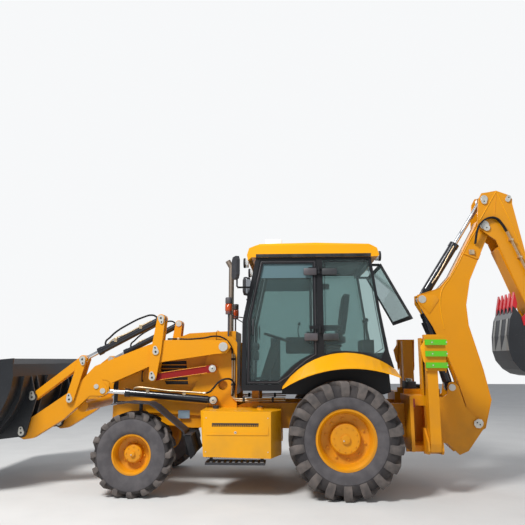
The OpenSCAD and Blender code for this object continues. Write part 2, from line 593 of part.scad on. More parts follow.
module side_boxes() {
    plan = [[1699, tower_y + 0.5], [1699, 965], [1660, 1000], [865, 1000], [752, 700], [752, rail_y + 0.5], [1310, rail_y + 0.5], [1310, tower_y + 0.5]];
    both() {
        difference() {
            intersection() {
                translate([0, 0, 440]) linear_extrude(545) polygon(plan);
                slab(rail_y, 1010) polygon([[1654, 462], [1699, 978], [840, 970], [750, 965], [750, 446]]);
            }
            for (i = [0:24]) translate([1016 + i * 22, 990, 800]) cube([12, 20, 26]);
            translate([902, 996, 706]) cube([718, 6, 7]);
        }
        translate([1280, 1000, 737]) rotate([-90, 0, 0]) cylinder(r = 16, h = 8);
        // filler caps on the box
        translate([1560, 640, 970]) cylinder(r = 38, h = 42);
        translate([1010, 640, 966]) cylinder(r = 38, h = 42);
        // step below, hung on two straps
        difference() {
            translate([934, 760, 372]) cube([700, 230, 26]);
            for (i = [0:9]) translate([954 + i * 67, 780, 360]) cube([45, 190, 50]);
        }
        for (x = [960, 1570]) translate([x, 770, 380]) cube([40, 12, 90]);
    }
}
module seat() {
    translate([-60, -160, floor_top]) cube([340, 320, 130]);
    translate([-110, -250, floor_top + 130]) cube([480, 500, 120]);
    translate([-120, -240, floor_top + 248.9]) rotate([0, -8, 0]) cube([110, 480, 560]);
    both() translate([-60, 262, floor_top + 330]) cube([330, 55, 50]);
    both() translate([-60, 250, floor_top + 200]) cube([60, 14, 130]);
}
// the floor's top, which is drawn in straight runs
floor_step = 120;
function floor_knot(x) = on_circle(fender_c, fender_r - 4, x) - 6;
function floor_at(x) = let (a = 740 - floor_step * ceil((740 - x) / floor_step), t = (x - a) / floor_step)
    floor_knot(a) * (1 - t) + floor_knot(a + floor_step) * t;
floor_top = floor_at(-60) + 0.3;
module console() {
    // steering column on the floor with its wheel, and the lever stand
    translate([1000, 0, cab_z + 64]) rotate([0, -18, 0]) {
        translate([-60, -90, 0]) cube([120, 180, 500]);
        cylinder(r = 26, h = 640);
        translate([0, 0, 640]) rotate_extrude() translate([190, 0]) circle(15);
        translate([0, 0, 630]) cylinder(r = 45, h = 20);
        for (a = [90, 210, 330]) rotate([0, 0, a]) translate([0, -11, 632]) cube([190, 22, 14]);
    }
    translate([780, -560, cab_z + 45.3]) cube([140, 120, 640]);
    translate([-470, -260, floor_at(-320) + 0.3]) cube([150, 520, 220]);
    for (y = [-120, 120]) translate([-400, y, 1800]) cylinder(r = 12, h = 300);
    for (y = [-120, 120]) translate([-400, y, 2100]) sphere(r = 28, $fn = 24);
}
module lamps() {
    both() {
        // roof lamps front and rear
        translate([1178.3, 420, cab_top - 20]) rotate([0, 90, 0]) cylinder(r = 62, h = 60);
        translate([-565.3, 420, cab_top + 60]) rotate([0, 90, 0]) cylinder(r = 62, h = 60);
        // tail lamps on the carriage
        translate([frame_rear + 238, 690, 1010]) cube([22, 60, 100]);
        // direction lamp on its stalk
        translate([1437, tower_y - 15, 1870.2]) cylinder(r = 12, h = 295);
        translate([1437, tower_y - 15, 2160]) cylinder(r = 42, h = 90);
        translate([1437, tower_y - 15, 2250]) cylinder(r = 34, h = 30);
    }
}
module door(s) {
    outer = inset(door_side, door_gap);
    inner = inset(door_side, door_gap + 42);
    mirror([0, s < 0 ? 1 : 0, 0]) {
        difference() {
            slab(cab_y - wall_t + 4, cab_y + 4) polygon(outer);
            slab(cab_y - wall_t, cab_y + 10) polygon(inner);
        }
        // hinge arms with their pins, and the handle
        for (z = hinge_z) {
            translate([hinge_x, hinge_y, z - 60]) cylinder(r = 9, h = 100);
            translate([hinge_x, hinge_y, z - 10]) cylinder(r = 20, h = 40);
            translate([hinge_x, cab_y + 4, z - 10]) cube([130, 26, 40]);
        }
        translate([1120, cab_y + 4, 1900]) cube([26, 30, 150]);
    }
}
module door_pane(s) {
    y0 = cab_y - wall_t / 2;
    mirror([0, s < 0 ? 1 : 0, 0]) slab(y0, y0 + glass_t) polygon(inset(door_side, door_gap + 42.1));
}

// ---- Loader ----
lift_barrel_r = 46;
lift_rod_r = 28;
tilt_barrel_r = 44;
tilt_rod_r = 26;
lift_len = 1283;      // shortest, pin to pin
tilt_len = 1075;
knee_notch = 138;
cross_at = [3300, 985];
arm_line = [[1551, 1820], [1440, 1812], [1390, 1735], [1440, 1655], [1587, 1644], [2263, 1544], [2441, 1481], [2926, 1272],
    [3148, 1148], [3498, 834], [3880, 600], [3990, 585], [4075, 625], [4090, 700], [4040, 765], [3830, 908], [3371, 1218],
    [3215, 1400], [3128, 1493], [2452, 1758], [2220, 1821]];
module loader_arms() {
    both() {
        difference() {
            union() {
                slab(arm_y - arm_t / 2, arm_y + arm_t / 2) difference() {
                    polygon([for (i = [len(arm_line) - 1:-1:0]) arm_line[i]]);
                    translate(pin_lift_rod) circle(knee_notch);
                }
                // bracket plates that hold the lift rod's eye
                for (y = [arm_y - arm_t / 2 - 1, arm_y + arm_t / 2 - lever_t + 6])
                    slab(y, y + lever_t - 5) polygon([add(pin_lift_rod, [-55, -25]), add(pin_lift_rod, [-10, -60]),
                        add(pin_lift_rod, [180, -60]), add(pin_lift_rod, [330, -170]), add(pin_lift_rod, [400, -60]),
                        add(pin_lift_rod, [190, 190]), add(pin_lift_rod, [50, 190]), add(pin_lift_rod, [-60, 30])]);
            }
            disc(pin_arm, pin_r * 1.25 + pin_gap, 0, 900);
            disc(pin_lever, pin_r + pin_gap, 0, 900);
            disc(pin_front, pin_r + pin_gap, 0, 900);
            disc(pin_bucket, pin_r + pin_gap, 0, 900);
        }
        disc(pin_lift_rod, 34, arm_y + arm_t / 2, arm_y + arm_t / 2 + 12);
        disc(add(pin_lift_rod, [85, 55]), 30, arm_y + arm_t / 2, arm_y + arm_t / 2 + 12);
    }
    disc(cross_at, 70, -arm_y + arm_t / 2 - 1, arm_y - arm_t / 2 + 1);
}
module lift_barrels() { both() barrel(pin_lift, pin_lift_rod, lift_len - 150, lift_barrel_r, lift_rod_r, arm_y, eye_t, 52, pin_r + pin_gap); }
module lift_rods() { both() rod(pin_lift_rod, pin_lift, lift_len - 125, lift_rod_r, arm_y, eye_t, 50); }
module level_links() {
    both() difference() {
        slab(arm_y - eye_t / 2, arm_y + eye_t / 2) bar2(pin_level, pin_lever_foot, 46, 46);
        disc(pin_level, pin_r + pin_gap, 0, 900);
        for (y = [arm_y - eye_t / 2 - 1, arm_y + eye_t / 2 - 5])
            slab(y, y + 6) bar2(along(pin_level, pin_lever_foot, 110), along(pin_lever_foot, pin_level, 110), 32, 32);
    }
}
module levers() {
    both() {
        for (y = [arm_y - lever_out, arm_y + lever_in]) difference() {
            slab(y, y + lever_t) union() {
                bar2(pin_lever, pin_lever_top, 66, 50);
                bar2(pin_lever, pin_lever_foot, 66, 50);
            }
            disc(pin_lever_top, pin_r + pin_gap, 0, 900);
        }
        disc(pin_lever, pin_r, arm_y - lever_out + 1, arm_y + lever_out - 1);
        pin_cap(pin_lever, 80, arm_y + lever_out - 1, arm_y + lever_out + 14, 26);
        pin_cap(pin_lever_foot, 80, arm_y + lever_out - 1, arm_y + lever_out + 14, 26);
    }
}
module lever_pins() {
    both() {
        disc(pin_lever_top, pin_r, arm_y - lever_out - 12, arm_y + lever_out + 2);
        pin_cap(pin_lever_top, 260, arm_y + lever_out + 0.5, arm_y + lever_out + 15, 26);
        disc(pin_lever_top, pin_r * 1.5, arm_y - lever_out - 12, arm_y - lever_out - 0.5);
    }
}
module tilt_barrels() { both() barrel(pin_lever_top, pin_front_top, tilt_len - 150, tilt_barrel_r, tilt_rod_r, arm_y, eye_t, 50, pin_r + pin_gap); }
module tilt_rods() { both() rod(pin_front_top, pin_lever_top, tilt_len - 170, tilt_rod_r, arm_y, eye_t, 48); }
module front_lever_pins() {
    both() {
        disc(pin_front, pin_r, arm_y - lever_out - 12, arm_y + lever_out + 2);
        pin_cap(pin_front, 80, arm_y + lever_out + 0.5, arm_y + lever_out + 15, 26);
        disc(pin_front, pin_r * 1.5, arm_y - lever_out - 12, arm_y - lever_out - 0.5);
    }
}
module front_levers() {
    both() for (y = [arm_y - lever_out, arm_y + lever_in]) difference() {
        slab(y, y + lever_t) bar2(pin_front, pin_front_top, 52, 50);
        disc(pin_front, pin_r + pin_gap, 0, 900);
        disc(pin_front_top, pin_r + pin_gap, 0, 900);
    }
}
module front_link_pins() {
    both() {
        for (m = [0, 1]) translate([0, arm_y, 0]) mirror([0, m, 0]) {
            disc(pin_front_top, pin_r, link_in + 0.5, lever_out + 2);
            if (m == 0) pin_cap(pin_front_top, 260, lever_out + 0.5, lever_out + 15, 26);
            if (m == 1) disc(pin_front_top, pin_r * 1.5, lever_out + 0.5, lever_out + 12);
        }
    }
}
module front_links() {
    both() {
        for (y = [arm_y - link_in - link_t, arm_y + link_in]) difference() {
            slab(y, y + link_t) bar2(pin_front_top, pin_bucket_top, 50, 46);
            disc(pin_front_top, pin_r + pin_gap, 0, 900);
        }
        disc(pin_bucket_top, pin_r, arm_y - link_in - 1, arm_y + link_in + 1);
        disc(along(pin_bucket_top, pin_front_top, 330), 30, arm_y - link_in - 1, arm_y + link_in + 1);
    }
}
module bucket_pins() {
    both() {
        disc(pin_bucket, pin_r, arm_y - lever_out - 12, arm_y + lever_out + 2);
        pin_cap(pin_bucket, 80, arm_y + lever_out + 0.5, arm_y + lever_out + 15, 26);
        disc(pin_bucket, pin_r * 1.5, arm_y - lever_out - 12, arm_y - lever_out - 0.5);
    }
}
// Plate of thickness t along a path, laid to the left of the path.
function left_of(p, i, t) = let (
    a = i == 0 ? sub(p[1], p[0]) : sub(p[i], p[i - 1]),
    b = i == len(p) - 1 ? a : sub(p[i + 1], p[i]),
    n = [-a[1], a[0]] / len2(a), m = [-b[1], b[0]] / len2(b)) p[i] + t * (n + m) / (1 + n * m);
function plate_path(p, t) = concat(p, [for (i = [len(p) - 1:-1:0]) left_of(p, i, t)]);
bucket_path = [for (q = [[-53, bucket_back + 30], [-72, 700], [-58, 570], [-15, 430], [52, 280], [150, 110],
    [265, -30], [400, -100], [bucket_reach, -60]]) add(pin_bucket, q)];
module loader_bucket() {
    n = len(bucket_path);
    slab(-bucket_w / 2, bucket_w / 2) polygon(plate_path(bucket_path, bucket_t));
    // cutting edge and top lip
    slab(-bucket_w / 2, bucket_w / 2) polygon([add(bucket_path[n - 1], [-190, -1 - 12]), add(bucket_path[n - 1], [0, 0]),
        add(bucket_path[n - 1], [-6, bucket_t + 2]), add(bucket_path[n - 1], [-170, 8])]);
    slab(-bucket_w / 2, bucket_w / 2) polygon([add(bucket_path[0], [-0.5, -12]), add(bucket_path[0], [13, -12]),
        add(bucket_path[0], [40, 60]), add(bucket_path[0], [26, 66])]);
    both() slab(bucket_w / 2 - bucket_t * 1.5, bucket_w / 2) polygon(concat(bucket_path,
        [add(pin_bucket, [bucket_reach - 30, 30]), add(pin_bucket, [bucket_reach - 170, 190]), add(pin_bucket, [360, 620]),
         add(pin_bucket, [170, bucket_back + 80]), add(pin_bucket, [-60, bucket_back + 100])]));
    // ears
    both() for (y = [arm_y - lever_out, arm_y + lever_in]) difference() {
        slab(y, y + lever_t) union() {
            bar2(pin_bucket, pin_bucket_top, 62, 52);
            polygon([add(pin_bucket, [-20, 40]), add(pin_bucket, [40, -55]), bucket_path[7], bucket_path[6], bucket_path[5],
                bucket_path[4], bucket_path[3], bucket_path[2], bucket_path[1], add(pin_bucket_top, [-30, 40])]);
        }
        disc(pin_bucket, pin_r + pin_gap, 0, 900);
    }
    both() pin_cap(pin_bucket_top, 80, arm_y + lever_out - 1, arm_y + lever_out + 14, 26);
    // stiffening ribs down the back
    both() for (y = [250, 900]) slab(y, y + 14) polygon([for (i = [1:6]) bucket_path[i], add(bucket_path[6], [-30, -20]),
        add(bucket_path[4], [-55, -35]), add(bucket_path[3], [-60, -20]), add(bucket_path[1], [-50, 0])]);
}

// ---- Backhoe ----
boom_cyl_len = 1191;
dipper_cyl_len = 1022;
dig_cyl_len = 1456;
module swing_post() {
    h = swing_eyes[1] - swing_eyes[0] - swing_eye_h - 2 * side_gap;
    difference() {
        union() {
            translate([swing_x, 0, swing_eyes[0] + swing_eye_h + side_gap]) cylinder(r = 80, h = h);
            translate([swing_x, 0, swing_eyes[0] - 20]) cylinder(r = swing_pin_r, h = swing_eyes[1] - swing_eyes[0] + swing_eye_h + 40);
            for (y = [-150, 120]) slab(y, y + 30) polygon([[swing_x - 20, swing_eyes[0] + 90], [swing_x - 98, swing_eyes[0] + 90], [-1526, 371], [-1640, 420],
                [-1850, 700], [-1845, 790], [-1760, 830], [-1640, 960], [-1560, 1235], [-1500, 1290], [-1440, 1275], [-1415, 1130],
                [swing_x - 98, swing_eyes[1] - 12], [swing_x - 20, swing_eyes[1] - 20]]);
            slab(-150, 150) polygon([[swing_x - 30, swing_eyes[0] + swing_eye_h + 8], [swing_x - 96, swing_eyes[0] + swing_eye_h + 8], [-1460, 440], [-1500, 560], [swing_x - 100, 960],
                [swing_x - 60, swing_eyes[1] - 30], [swing_x - 30, swing_eyes[1] - 30]]);
        }
        disc(pin_boom, hoe_pin_r + pin_gap, -300, 300);
        disc(pin_boom_cyl, hoe_pin_r + pin_gap, -300, 300);
    }
    disc(pin_boom_cyl, hoe_pin_r, -165, 165);
    disc(pin_boom, hoe_pin_r, -165, 165);
    for (y = [-162, 150]) disc(pin_boom_cyl, 44, y, y + 12);
    for (y = [-162, 150]) disc(pin_boom, 50, y, y + 12);
}
boom_line = [[-1783, 640], [-1700, 675], [-1665, 760], [-1660, 990], [-1560, 1350], [-1481, 1569], [-1290, 2010], [-1105, 2330],
    [-1105, 2440], [-1190, 2462], [-1400, 2530], [-1560, 2700], [-1950, 3400], [-1975, 3470], [-2046, 3495], [-2140, 3440],
    [-2140, 3350], [-1814, 2638], [-1745, 2300], [-1760, 2030], [-1914, 1439], [-1989, 1055], [-1890, 700]];
module boom() {
    w = boom_t / 2;
    difference() {
        slab(-w, w) polygon([for (i = [len(boom_line) - 1:-1:0]) boom_line[i]]);
        disc(pin_boom, hoe_pin_r + pin_gap, -300, 300);
        disc(pin_dipper, hoe_pin_r + pin_gap, -300, 300);
        // slots for the two cylinders' eyes round the shared pin
        slab(-slot_y, slot_y) translate(pin_boom_mid) circle(215);
        // slot for the boom cylinder above the foot
        slab(-hoe_barrel_r - 12, hoe_barrel_r + 12) polygon([[-1640, 1000], [-1540, 1600], [-1360, 2100], [-1340, 2300], [-1000, 2500], [-900, 2000], [-1300, 1000]]);
    }
    // stub pins for the dipper cylinder's fork, clear of the boom rod's eye between
    for (m = [0, 1]) mirror([0, m, 0]) {
        disc(pin_boom_mid, 52, w - 20, w + 14);
        disc(pin_boom_mid, hoe_pin_r, mid_eye / 2 + side_gap, slot_y + 1);
    }
}
mid_eye = 64;        // thickness of the boom rod's eye
slot_y = 68;         // half width of the boom's slot round the two eyes
module boom_barrel() { barrel(pin_boom_cyl, pin_boom_mid, boom_cyl_len - 170, hoe_barrel_r, hoe_rod_r, 0, 70, 62, hoe_pin_r + pin_gap); }
module boom_rod() { rod(pin_boom_mid, pin_boom_cyl, boom_cyl_len - 130, hoe_rod_r, 0, mid_eye, 52); }
module dipper() {
    head = [[-2046, 3290], [-1960, 3360], [-1960, 3470], [-1990, 3760], [-2040, 3850], [-2110, 3860], [-2242, 3884],
        [-2400, 3820], [-2450, 3760], [-2445, 3690], [-2563, 3012], [-2840, 2230], [-2842, 1738], [-2765, 1635], [-2688, 1665],
        [-2660, 1863], [-2504, 2318], [-2190, 3180]];
    in = dipper_w / 2 - dipper_t;
    for (y = [-dipper_w / 2, in]) difference() {
        slab(y, y + dipper_t) polygon(head);
        disc(pin_dipper, hoe_pin_r + pin_gap, -300, 300);
    }
    // box beam between the side plates
    slab(-in, in) polygon([[-2400, 3050], [-2470, 2950], [-2690, 2120], [-2620, 2080], [-2530, 2260], [-2210, 3060], [-2250, 3110]]);
    disc(pin_dipper, hoe_pin_r, -dipper_w / 2 - 14, dipper_w / 2 + 14);
    for (y = [-dipper_w / 2 - 14, dipper_w / 2]) disc(pin_dipper, 60, y, y + 14);
    for (y = [-dipper_w / 2 - 14, dipper_w / 2]) disc(pin_dipper_rod, 50, y, y + 14);
    disc(pin_dig_cyl, hoe_pin_r, -dipper_w / 2 - 14, dipper_w / 2 + 14);
    disc(pin_rocker, hoe_pin_r, -rocker_in - 25, rocker_in + 25);
    disc(pin_dig, hoe_pin_r, -dig_ear - 58, dig_ear + 58);
}
module dipper_barrel() {
    // its foot is a fork on the boom's stub pins, with the boom rod's eye between
    t = ang(pin_boom_mid, pin_dipper_rod);
    translate([pin_boom_mid[0], 0, pin_boom_mid[1]]) rotate([0, -t, 0]) difference() {
        union() {
            for (y = [-slot_y + side_gap, mid_eye / 2 + side_gap]) translate([0, y, 0]) {
                rotate([-90, 0, 0]) cylinder(r = 55, h = slot_y - mid_eye / 2 - 2 * side_gap);
                translate([0, 0, -50]) cube([160, slot_y - mid_eye / 2 - 2 * side_gap, 100]);
            }
            translate([130, 0, 0]) rotate([0, 90, 0]) cylinder(r = hoe_barrel_r, h = dipper_cyl_len - 220);
            translate([dipper_cyl_len - 150, 0, 0]) rotate([0, 90, 0]) cylinder(r = hoe_barrel_r + 7, h = 60);
        }
        rotate([90, 0, 0]) cylinder(r = hoe_pin_r + pin_gap, h = 300, center = true);
        translate([150, 0, 0]) rotate([0, 90, 0]) cylinder(r = hoe_rod_r + pin_gap, h = dipper_cyl_len);
    }
}
module dipper_rod() { rod(pin_dipper_rod, pin_boom_mid, dipper_cyl_len - 160, hoe_rod_r, 0, 70, 56); }
module bucket_barrel() { barrel(pin_dig_cyl, pin_rocker_tip, dig_cyl_len - 110, 56, 30, 0, 80, 62, hoe_pin_r + pin_gap); }
module bucket_rod() { rod(pin_rocker_tip, pin_dig_cyl, dig_cyl_len - 120, 30, 0, 70, tip_eye_r); }
rocker_in = dipper_w / 2 + side_gap;   // inner faces of the rocker, the link and the bucket's ears
link_face = rocker_in + 32;
dig_ear = link_face + 22 + side_gap;
module rocker() {
    for (y = [-rocker_in - 22, rocker_in]) difference() {
        slab(y, y + 22) bar2(pin_rocker, pin_rocker_tip, 50, 46);
        disc(pin_rocker, hoe_pin_r + pin_gap, -400, 400);
    }
}
module bucket_link() {
    for (y = [-link_face - 22, link_face]) difference() {
        slab(y, y + 22) bar2(pin_rocker_tip, pin_dig_link, 46, 46);
        disc(pin_dig_link, hoe_pin_r + pin_gap, -400, 400);
    }
    disc(pin_rocker_tip, 24, link_face + 21, link_face + 30);
    disc(pin_rocker_tip, 24, -link_face - 30, -link_face - 21);
}
dig_path = [[-2628, 1865], [-2625, 1700], [-2655, 1520], [-2685, 1440], [-2640, 1385], [-2530, 1360], [-2410, 1385],
    [-2310, 1450], [-2225, 1560], [-2190, 1690], [-2195, 1885], [-2235, 2105], [-2300, 2250]];
module digging_bucket() {
    w = dig_w / 2;
    slab(-w, w) polygon(plate_path(dig_path, 16));
    for (y = [-w, w - 16]) slab(y, y + 16) polygon(concat(dig_path, [[-2350, 2180], [-2400, 2100], [-2500, 2000]]));
    // teeth
    for (i = [-2:2]) slab(i * (dig_w - 80) / 4 - 32, i * (dig_w - 80) / 4 + 32)
        polygon([[-2262, 2150], [-2280, 2270], [-2318, 2452], [-2345, 2300], [-2325, 2230], [-2290, 2160]]);
    // side cutters
    for (y = [-w - 14, w]) slab(y, y + 14) polygon([[-2400, 2010], [-2380, 2110], [-2440, 2180], [-2500, 2120], [-2480, 2030]]);
    // wear strips round the heel
    for (y = [-w + 60, -30, w - 120]) slab(y, y + 60) polygon([[-2191, 1690], [-2186, 1690], [-2191, 1885], [-2231, 2105], [-2236, 2105], [-2196, 1885]]);
    // ears with the link's pins
    for (m = [0, 1]) mirror([0, m, 0]) {
        difference() {
            slab(dig_ear, dig_ear + 50) polygon([[-2623, 1872], [-2730, 1800], [-2815, 1755], [-2830, 1680], [-2897, 1500], [-2880, 1412],
                [-2800, 1393], [-2690, 1400], [-2640, 1385], [-2685, 1440], [-2655, 1520], [-2625, 1700]]);
            disc(pin_dig, hoe_pin_r + pin_gap, -500, 500);
        }
        disc(pin_dig_link, hoe_pin_r, link_face - 4, dig_ear + 56);
    }
}

// ---- Stabilisers: each leg swings out and down on its foot pin ----
stab_pin = [leg_y - 60, leg_z + 390];
stab_len = 845;
leg_wall = 12;
pad_w = 245;
module stabiliser_leg(s) {
    top = leg_z + leg_len;
    mirror([0, s < 0 ? 1 : 0, 0]) translate([leg_x - leg_w / 2, 0, 0]) {
        difference() {
            rotate([90, 0, 90]) linear_extrude(leg_w) polygon([[leg_y - 60, leg_z - 40], [leg_y - 20, leg_z - 70], [leg_y + 50, leg_z - 50],
                [leg_y + 70, leg_z + 40], [leg_y + 70, top], [leg_y - 10, top], [leg_y - 50, leg_z + 700],
                [leg_y - 105, leg_z + 430], [leg_y - 105, leg_z + 330]]);
            // open channel towards the machine
            translate([leg_wall, 0, 0]) rotate([90, 0, 90]) linear_extrude(leg_w - 2 * leg_wall) polygon([[leg_y - 200, leg_z + 80],
                [leg_y + 50, leg_z + 80], [leg_y + 50, top - 40], [leg_y - 200, top - 40]]);
            translate([-10, leg_y, leg_z]) rotate([0, 90, 0]) cylinder(r = 26 + pin_gap, h = leg_w + 20);
        }
        // pad folded over the leg's end, with its three rubber bars and the side gusset
        translate([leg_w - pad_w + 20, leg_y + 70, top - 420]) cube([pad_w, 24, 430]);
        translate([leg_w - pad_w + 20, leg_y - 10, top - 10]) cube([pad_w, 90, 20]);
        for (x = [leg_w - pad_w + 20, leg_w + 8]) translate([x, 0, 0]) rotate([90, 0, 90]) linear_extrude(12)
            polygon([[leg_y + 71, top - 440], [leg_y + 71, top + 5], [leg_y - 10, top + 5], [leg_y + 20, top - 150]]);
        for (i = [0:2]) translate([leg_w - pad_w + 10, leg_y + 94, top - 385 + i * 135]) cube([pad_w + 8, 30, 65]);
    }
}
module tilted_x(a, b) { translate([leg_x, a[0], a[1]]) rotate([ang(a, b), 0, 0]) children(); }
module stabiliser_barrel(s) {
    mirror([0, s < 0 ? 1 : 0, 0]) tilted_x([column_y, column_z], stab_pin) difference() {
        union() {
            rotate([0, 90, 0]) cylinder(r = 40, h = 60, center = true);
            translate([0, 30, 0]) rotate([-90, 0, 0]) cylinder(r = 42, h = stab_len - 110);
        }
        rotate([0, 90, 0]) cylinder(r = 20 + pin_gap, h = 200, center = true);
        translate([0, 56, 0]) rotate([-90, 0, 0]) cylinder(r = 25 + pin_gap, h = stab_len);
    }
}
module stabiliser_rod(s) {
    mirror([0, s < 0 ? 1 : 0, 0]) tilted_x(stab_pin, [column_y, column_z]) {
        rotate([0, 90, 0]) cylinder(r = 40, h = 60, center = true);
        translate([0, 25, 0]) rotate([-90, 0, 0]) cylinder(r = 25, h = stab_len - 95);
    }
}

placed() color("goldenrod") main_frame();
placed() color("dimgray") engine();
placed() color("goldenrod") axles();
placed() color("#222222") front_grille();
placed() color("#222222") front_mudguards();
placed() color("#1b1b1d") cab_frame();
placed() color("#6f8f93") cab_glass();
placed() color("gold") cab_roof();
placed() color("gold") rear_fenders();
placed() color("gold") side_boxes();
placed() color("#2a2a2c") seat();
placed() color("#333333") console();
placed() color("orangered") lamps();
placed() color("goldenrod") bonnet();
placed() color("#1b1b1d") door(1);  // door_left
placed() color("#1b1b1d") door(-1);  // door_right
placed() color("#6f8f93") door_pane(1);  // door_glass_left
placed() color("#6f8f93") door_pane(-1);  // door_glass_right
placed() color("#4a4542") rear_tyre(1);  // rear_tyre_left
placed() color("#4a4542") rear_tyre(-1);  // rear_tyre_right
placed() color("goldenrod") rear_rim(1);  // rear_rim_left
placed() color("goldenrod") rear_rim(-1);  // rear_rim_right
placed() color("#4a4542") front_tyre(1);  // front_tyre_left
placed() color("#4a4542") front_tyre(-1);  // front_tyre_right
placed() color("goldenrod") front_rim(1);  // front_rim_left
placed() color("goldenrod") front_rim(-1);  // front_rim_right
placed() color("dimgray") knuckle(1);  // knuckle_left
placed() color("dimgray") knuckle(-1);  // knuckle_right
placed() color("goldenrod") loader_arms();
placed() color("#1d1d20") lift_barrels();
placed() color("silver") lift_rods();
placed() color("darkred") level_links();
placed() color("goldenrod") levers();
placed() color("lightgray") lever_pins();
placed() color("#1d1d20") tilt_barrels();
placed() color("silver") tilt_rods();
placed() color("lightgray") front_lever_pins();
placed() color("goldenrod") front_levers();
placed() color("lightgray") front_link_pins();
placed() color("goldenrod") front_links();
placed() color("lightgray") bucket_pins();
placed() color("#26282c") loader_bucket();
placed() color("goldenrod") swing_post();
placed() color("goldenrod") boom();
placed() color("#1d1d20") boom_barrel();
placed() color("silver") boom_rod();
placed() color("goldenrod") dipper();
placed() color("#1d1d20") dipper_barrel();
placed() color("silver") dipper_rod();
placed() color("#1d1d20") bucket_barrel();
placed() color("silver") bucket_rod();
placed() color("goldenrod") rocker();
placed() color("goldenrod") bucket_link();
placed() color("#26282c") digging_bucket();
placed() color("goldenrod") stabiliser_leg(1);  // stabiliser_left
placed() color("goldenrod") stabiliser_leg(-1);  // stabiliser_right
placed() color("#1d1d20") stabiliser_barrel(1);  // stabiliser_barrel_left
placed() color("#1d1d20") stabiliser_barrel(-1);  // stabiliser_barrel_right
placed() color("silver") stabiliser_rod(1);  // stabiliser_rod_left
placed() color("silver") stabiliser_rod(-1);  // stabiliser_rod_right
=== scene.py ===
import math

import bpy
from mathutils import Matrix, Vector


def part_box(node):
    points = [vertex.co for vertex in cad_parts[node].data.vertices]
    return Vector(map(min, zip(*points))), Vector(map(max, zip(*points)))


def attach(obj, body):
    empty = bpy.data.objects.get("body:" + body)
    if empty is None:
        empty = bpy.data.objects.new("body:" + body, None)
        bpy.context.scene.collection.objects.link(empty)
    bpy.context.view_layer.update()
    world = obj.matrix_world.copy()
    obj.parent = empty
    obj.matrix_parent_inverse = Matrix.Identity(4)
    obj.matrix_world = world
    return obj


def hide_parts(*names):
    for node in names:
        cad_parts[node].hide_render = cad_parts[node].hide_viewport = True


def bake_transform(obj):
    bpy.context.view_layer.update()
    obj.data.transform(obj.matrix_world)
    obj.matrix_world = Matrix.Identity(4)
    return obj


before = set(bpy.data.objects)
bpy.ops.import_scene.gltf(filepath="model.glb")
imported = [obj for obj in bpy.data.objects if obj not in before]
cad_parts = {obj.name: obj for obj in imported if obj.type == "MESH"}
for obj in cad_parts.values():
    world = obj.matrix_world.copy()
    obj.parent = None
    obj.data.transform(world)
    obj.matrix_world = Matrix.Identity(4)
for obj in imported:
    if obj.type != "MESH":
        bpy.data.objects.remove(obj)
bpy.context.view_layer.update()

# The part's source is drawn in millimetres from the rear axle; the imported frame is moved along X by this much.
wheel_low, wheel_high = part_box("rear_tyre_left")
AXLE_X = (wheel_low.x + wheel_high.x) / 2
# The photo's eye in metres from the rear axle, and its turn and tip in degrees, solved from the photo
EYE = (0.6212 + AXLE_X, 7.5184, 1.5685)
EYE_TURN, EYE_TIP = 3.0, 10.2348
LENS_MM, SENSOR_MM, FAR_M = 37.03, 36, 200
# Faces of the source, in millimetres from the machine's middle
PIN_FACE, LOADER_COVER = 588, 656
POST_FACE, BOOM_FACE, DIPPER_FACE, DIPPER_PIN_FACE = 149.5, 95.5, 155.5, 169
# Making of meshes: welding distance in metres, angles in degrees
WELD, BEVEL_ANGLE, SMOOTH_ANGLE = 0.0002, 35, 40
FLOOR_M = 60
SIDES = (("left", 1), ("right", -1))


def here(x, y, z):
    """A point of the source, in millimetres, as a place in the frame."""
    return Vector((AXLE_X + x / 1000, y / 1000, z / 1000))


# ---- camera and light
def set_camera():
    """The photo's eye: 1.6 m above the road, ahead of the rear wheel, tipped up by ten degrees."""
    bpy.ops.object.select_all(action="DESELECT")
    bpy.ops.object.camera_add(location=EYE)
    camera = bpy.context.object
    turn, tip = math.radians(EYE_TURN), math.radians(EYE_TIP)
    look = Vector((math.sin(turn) * math.cos(tip), -math.cos(turn) * math.cos(tip), math.sin(tip)))
    camera.rotation_mode = "QUATERNION"
    camera.rotation_quaternion = look.to_track_quat("-Z", "Y")
    camera.data.lens = LENS_MM
    camera.data.sensor_width = SENSOR_MM
    camera.data.clip_end = FAR_M
    bpy.context.scene.camera = camera


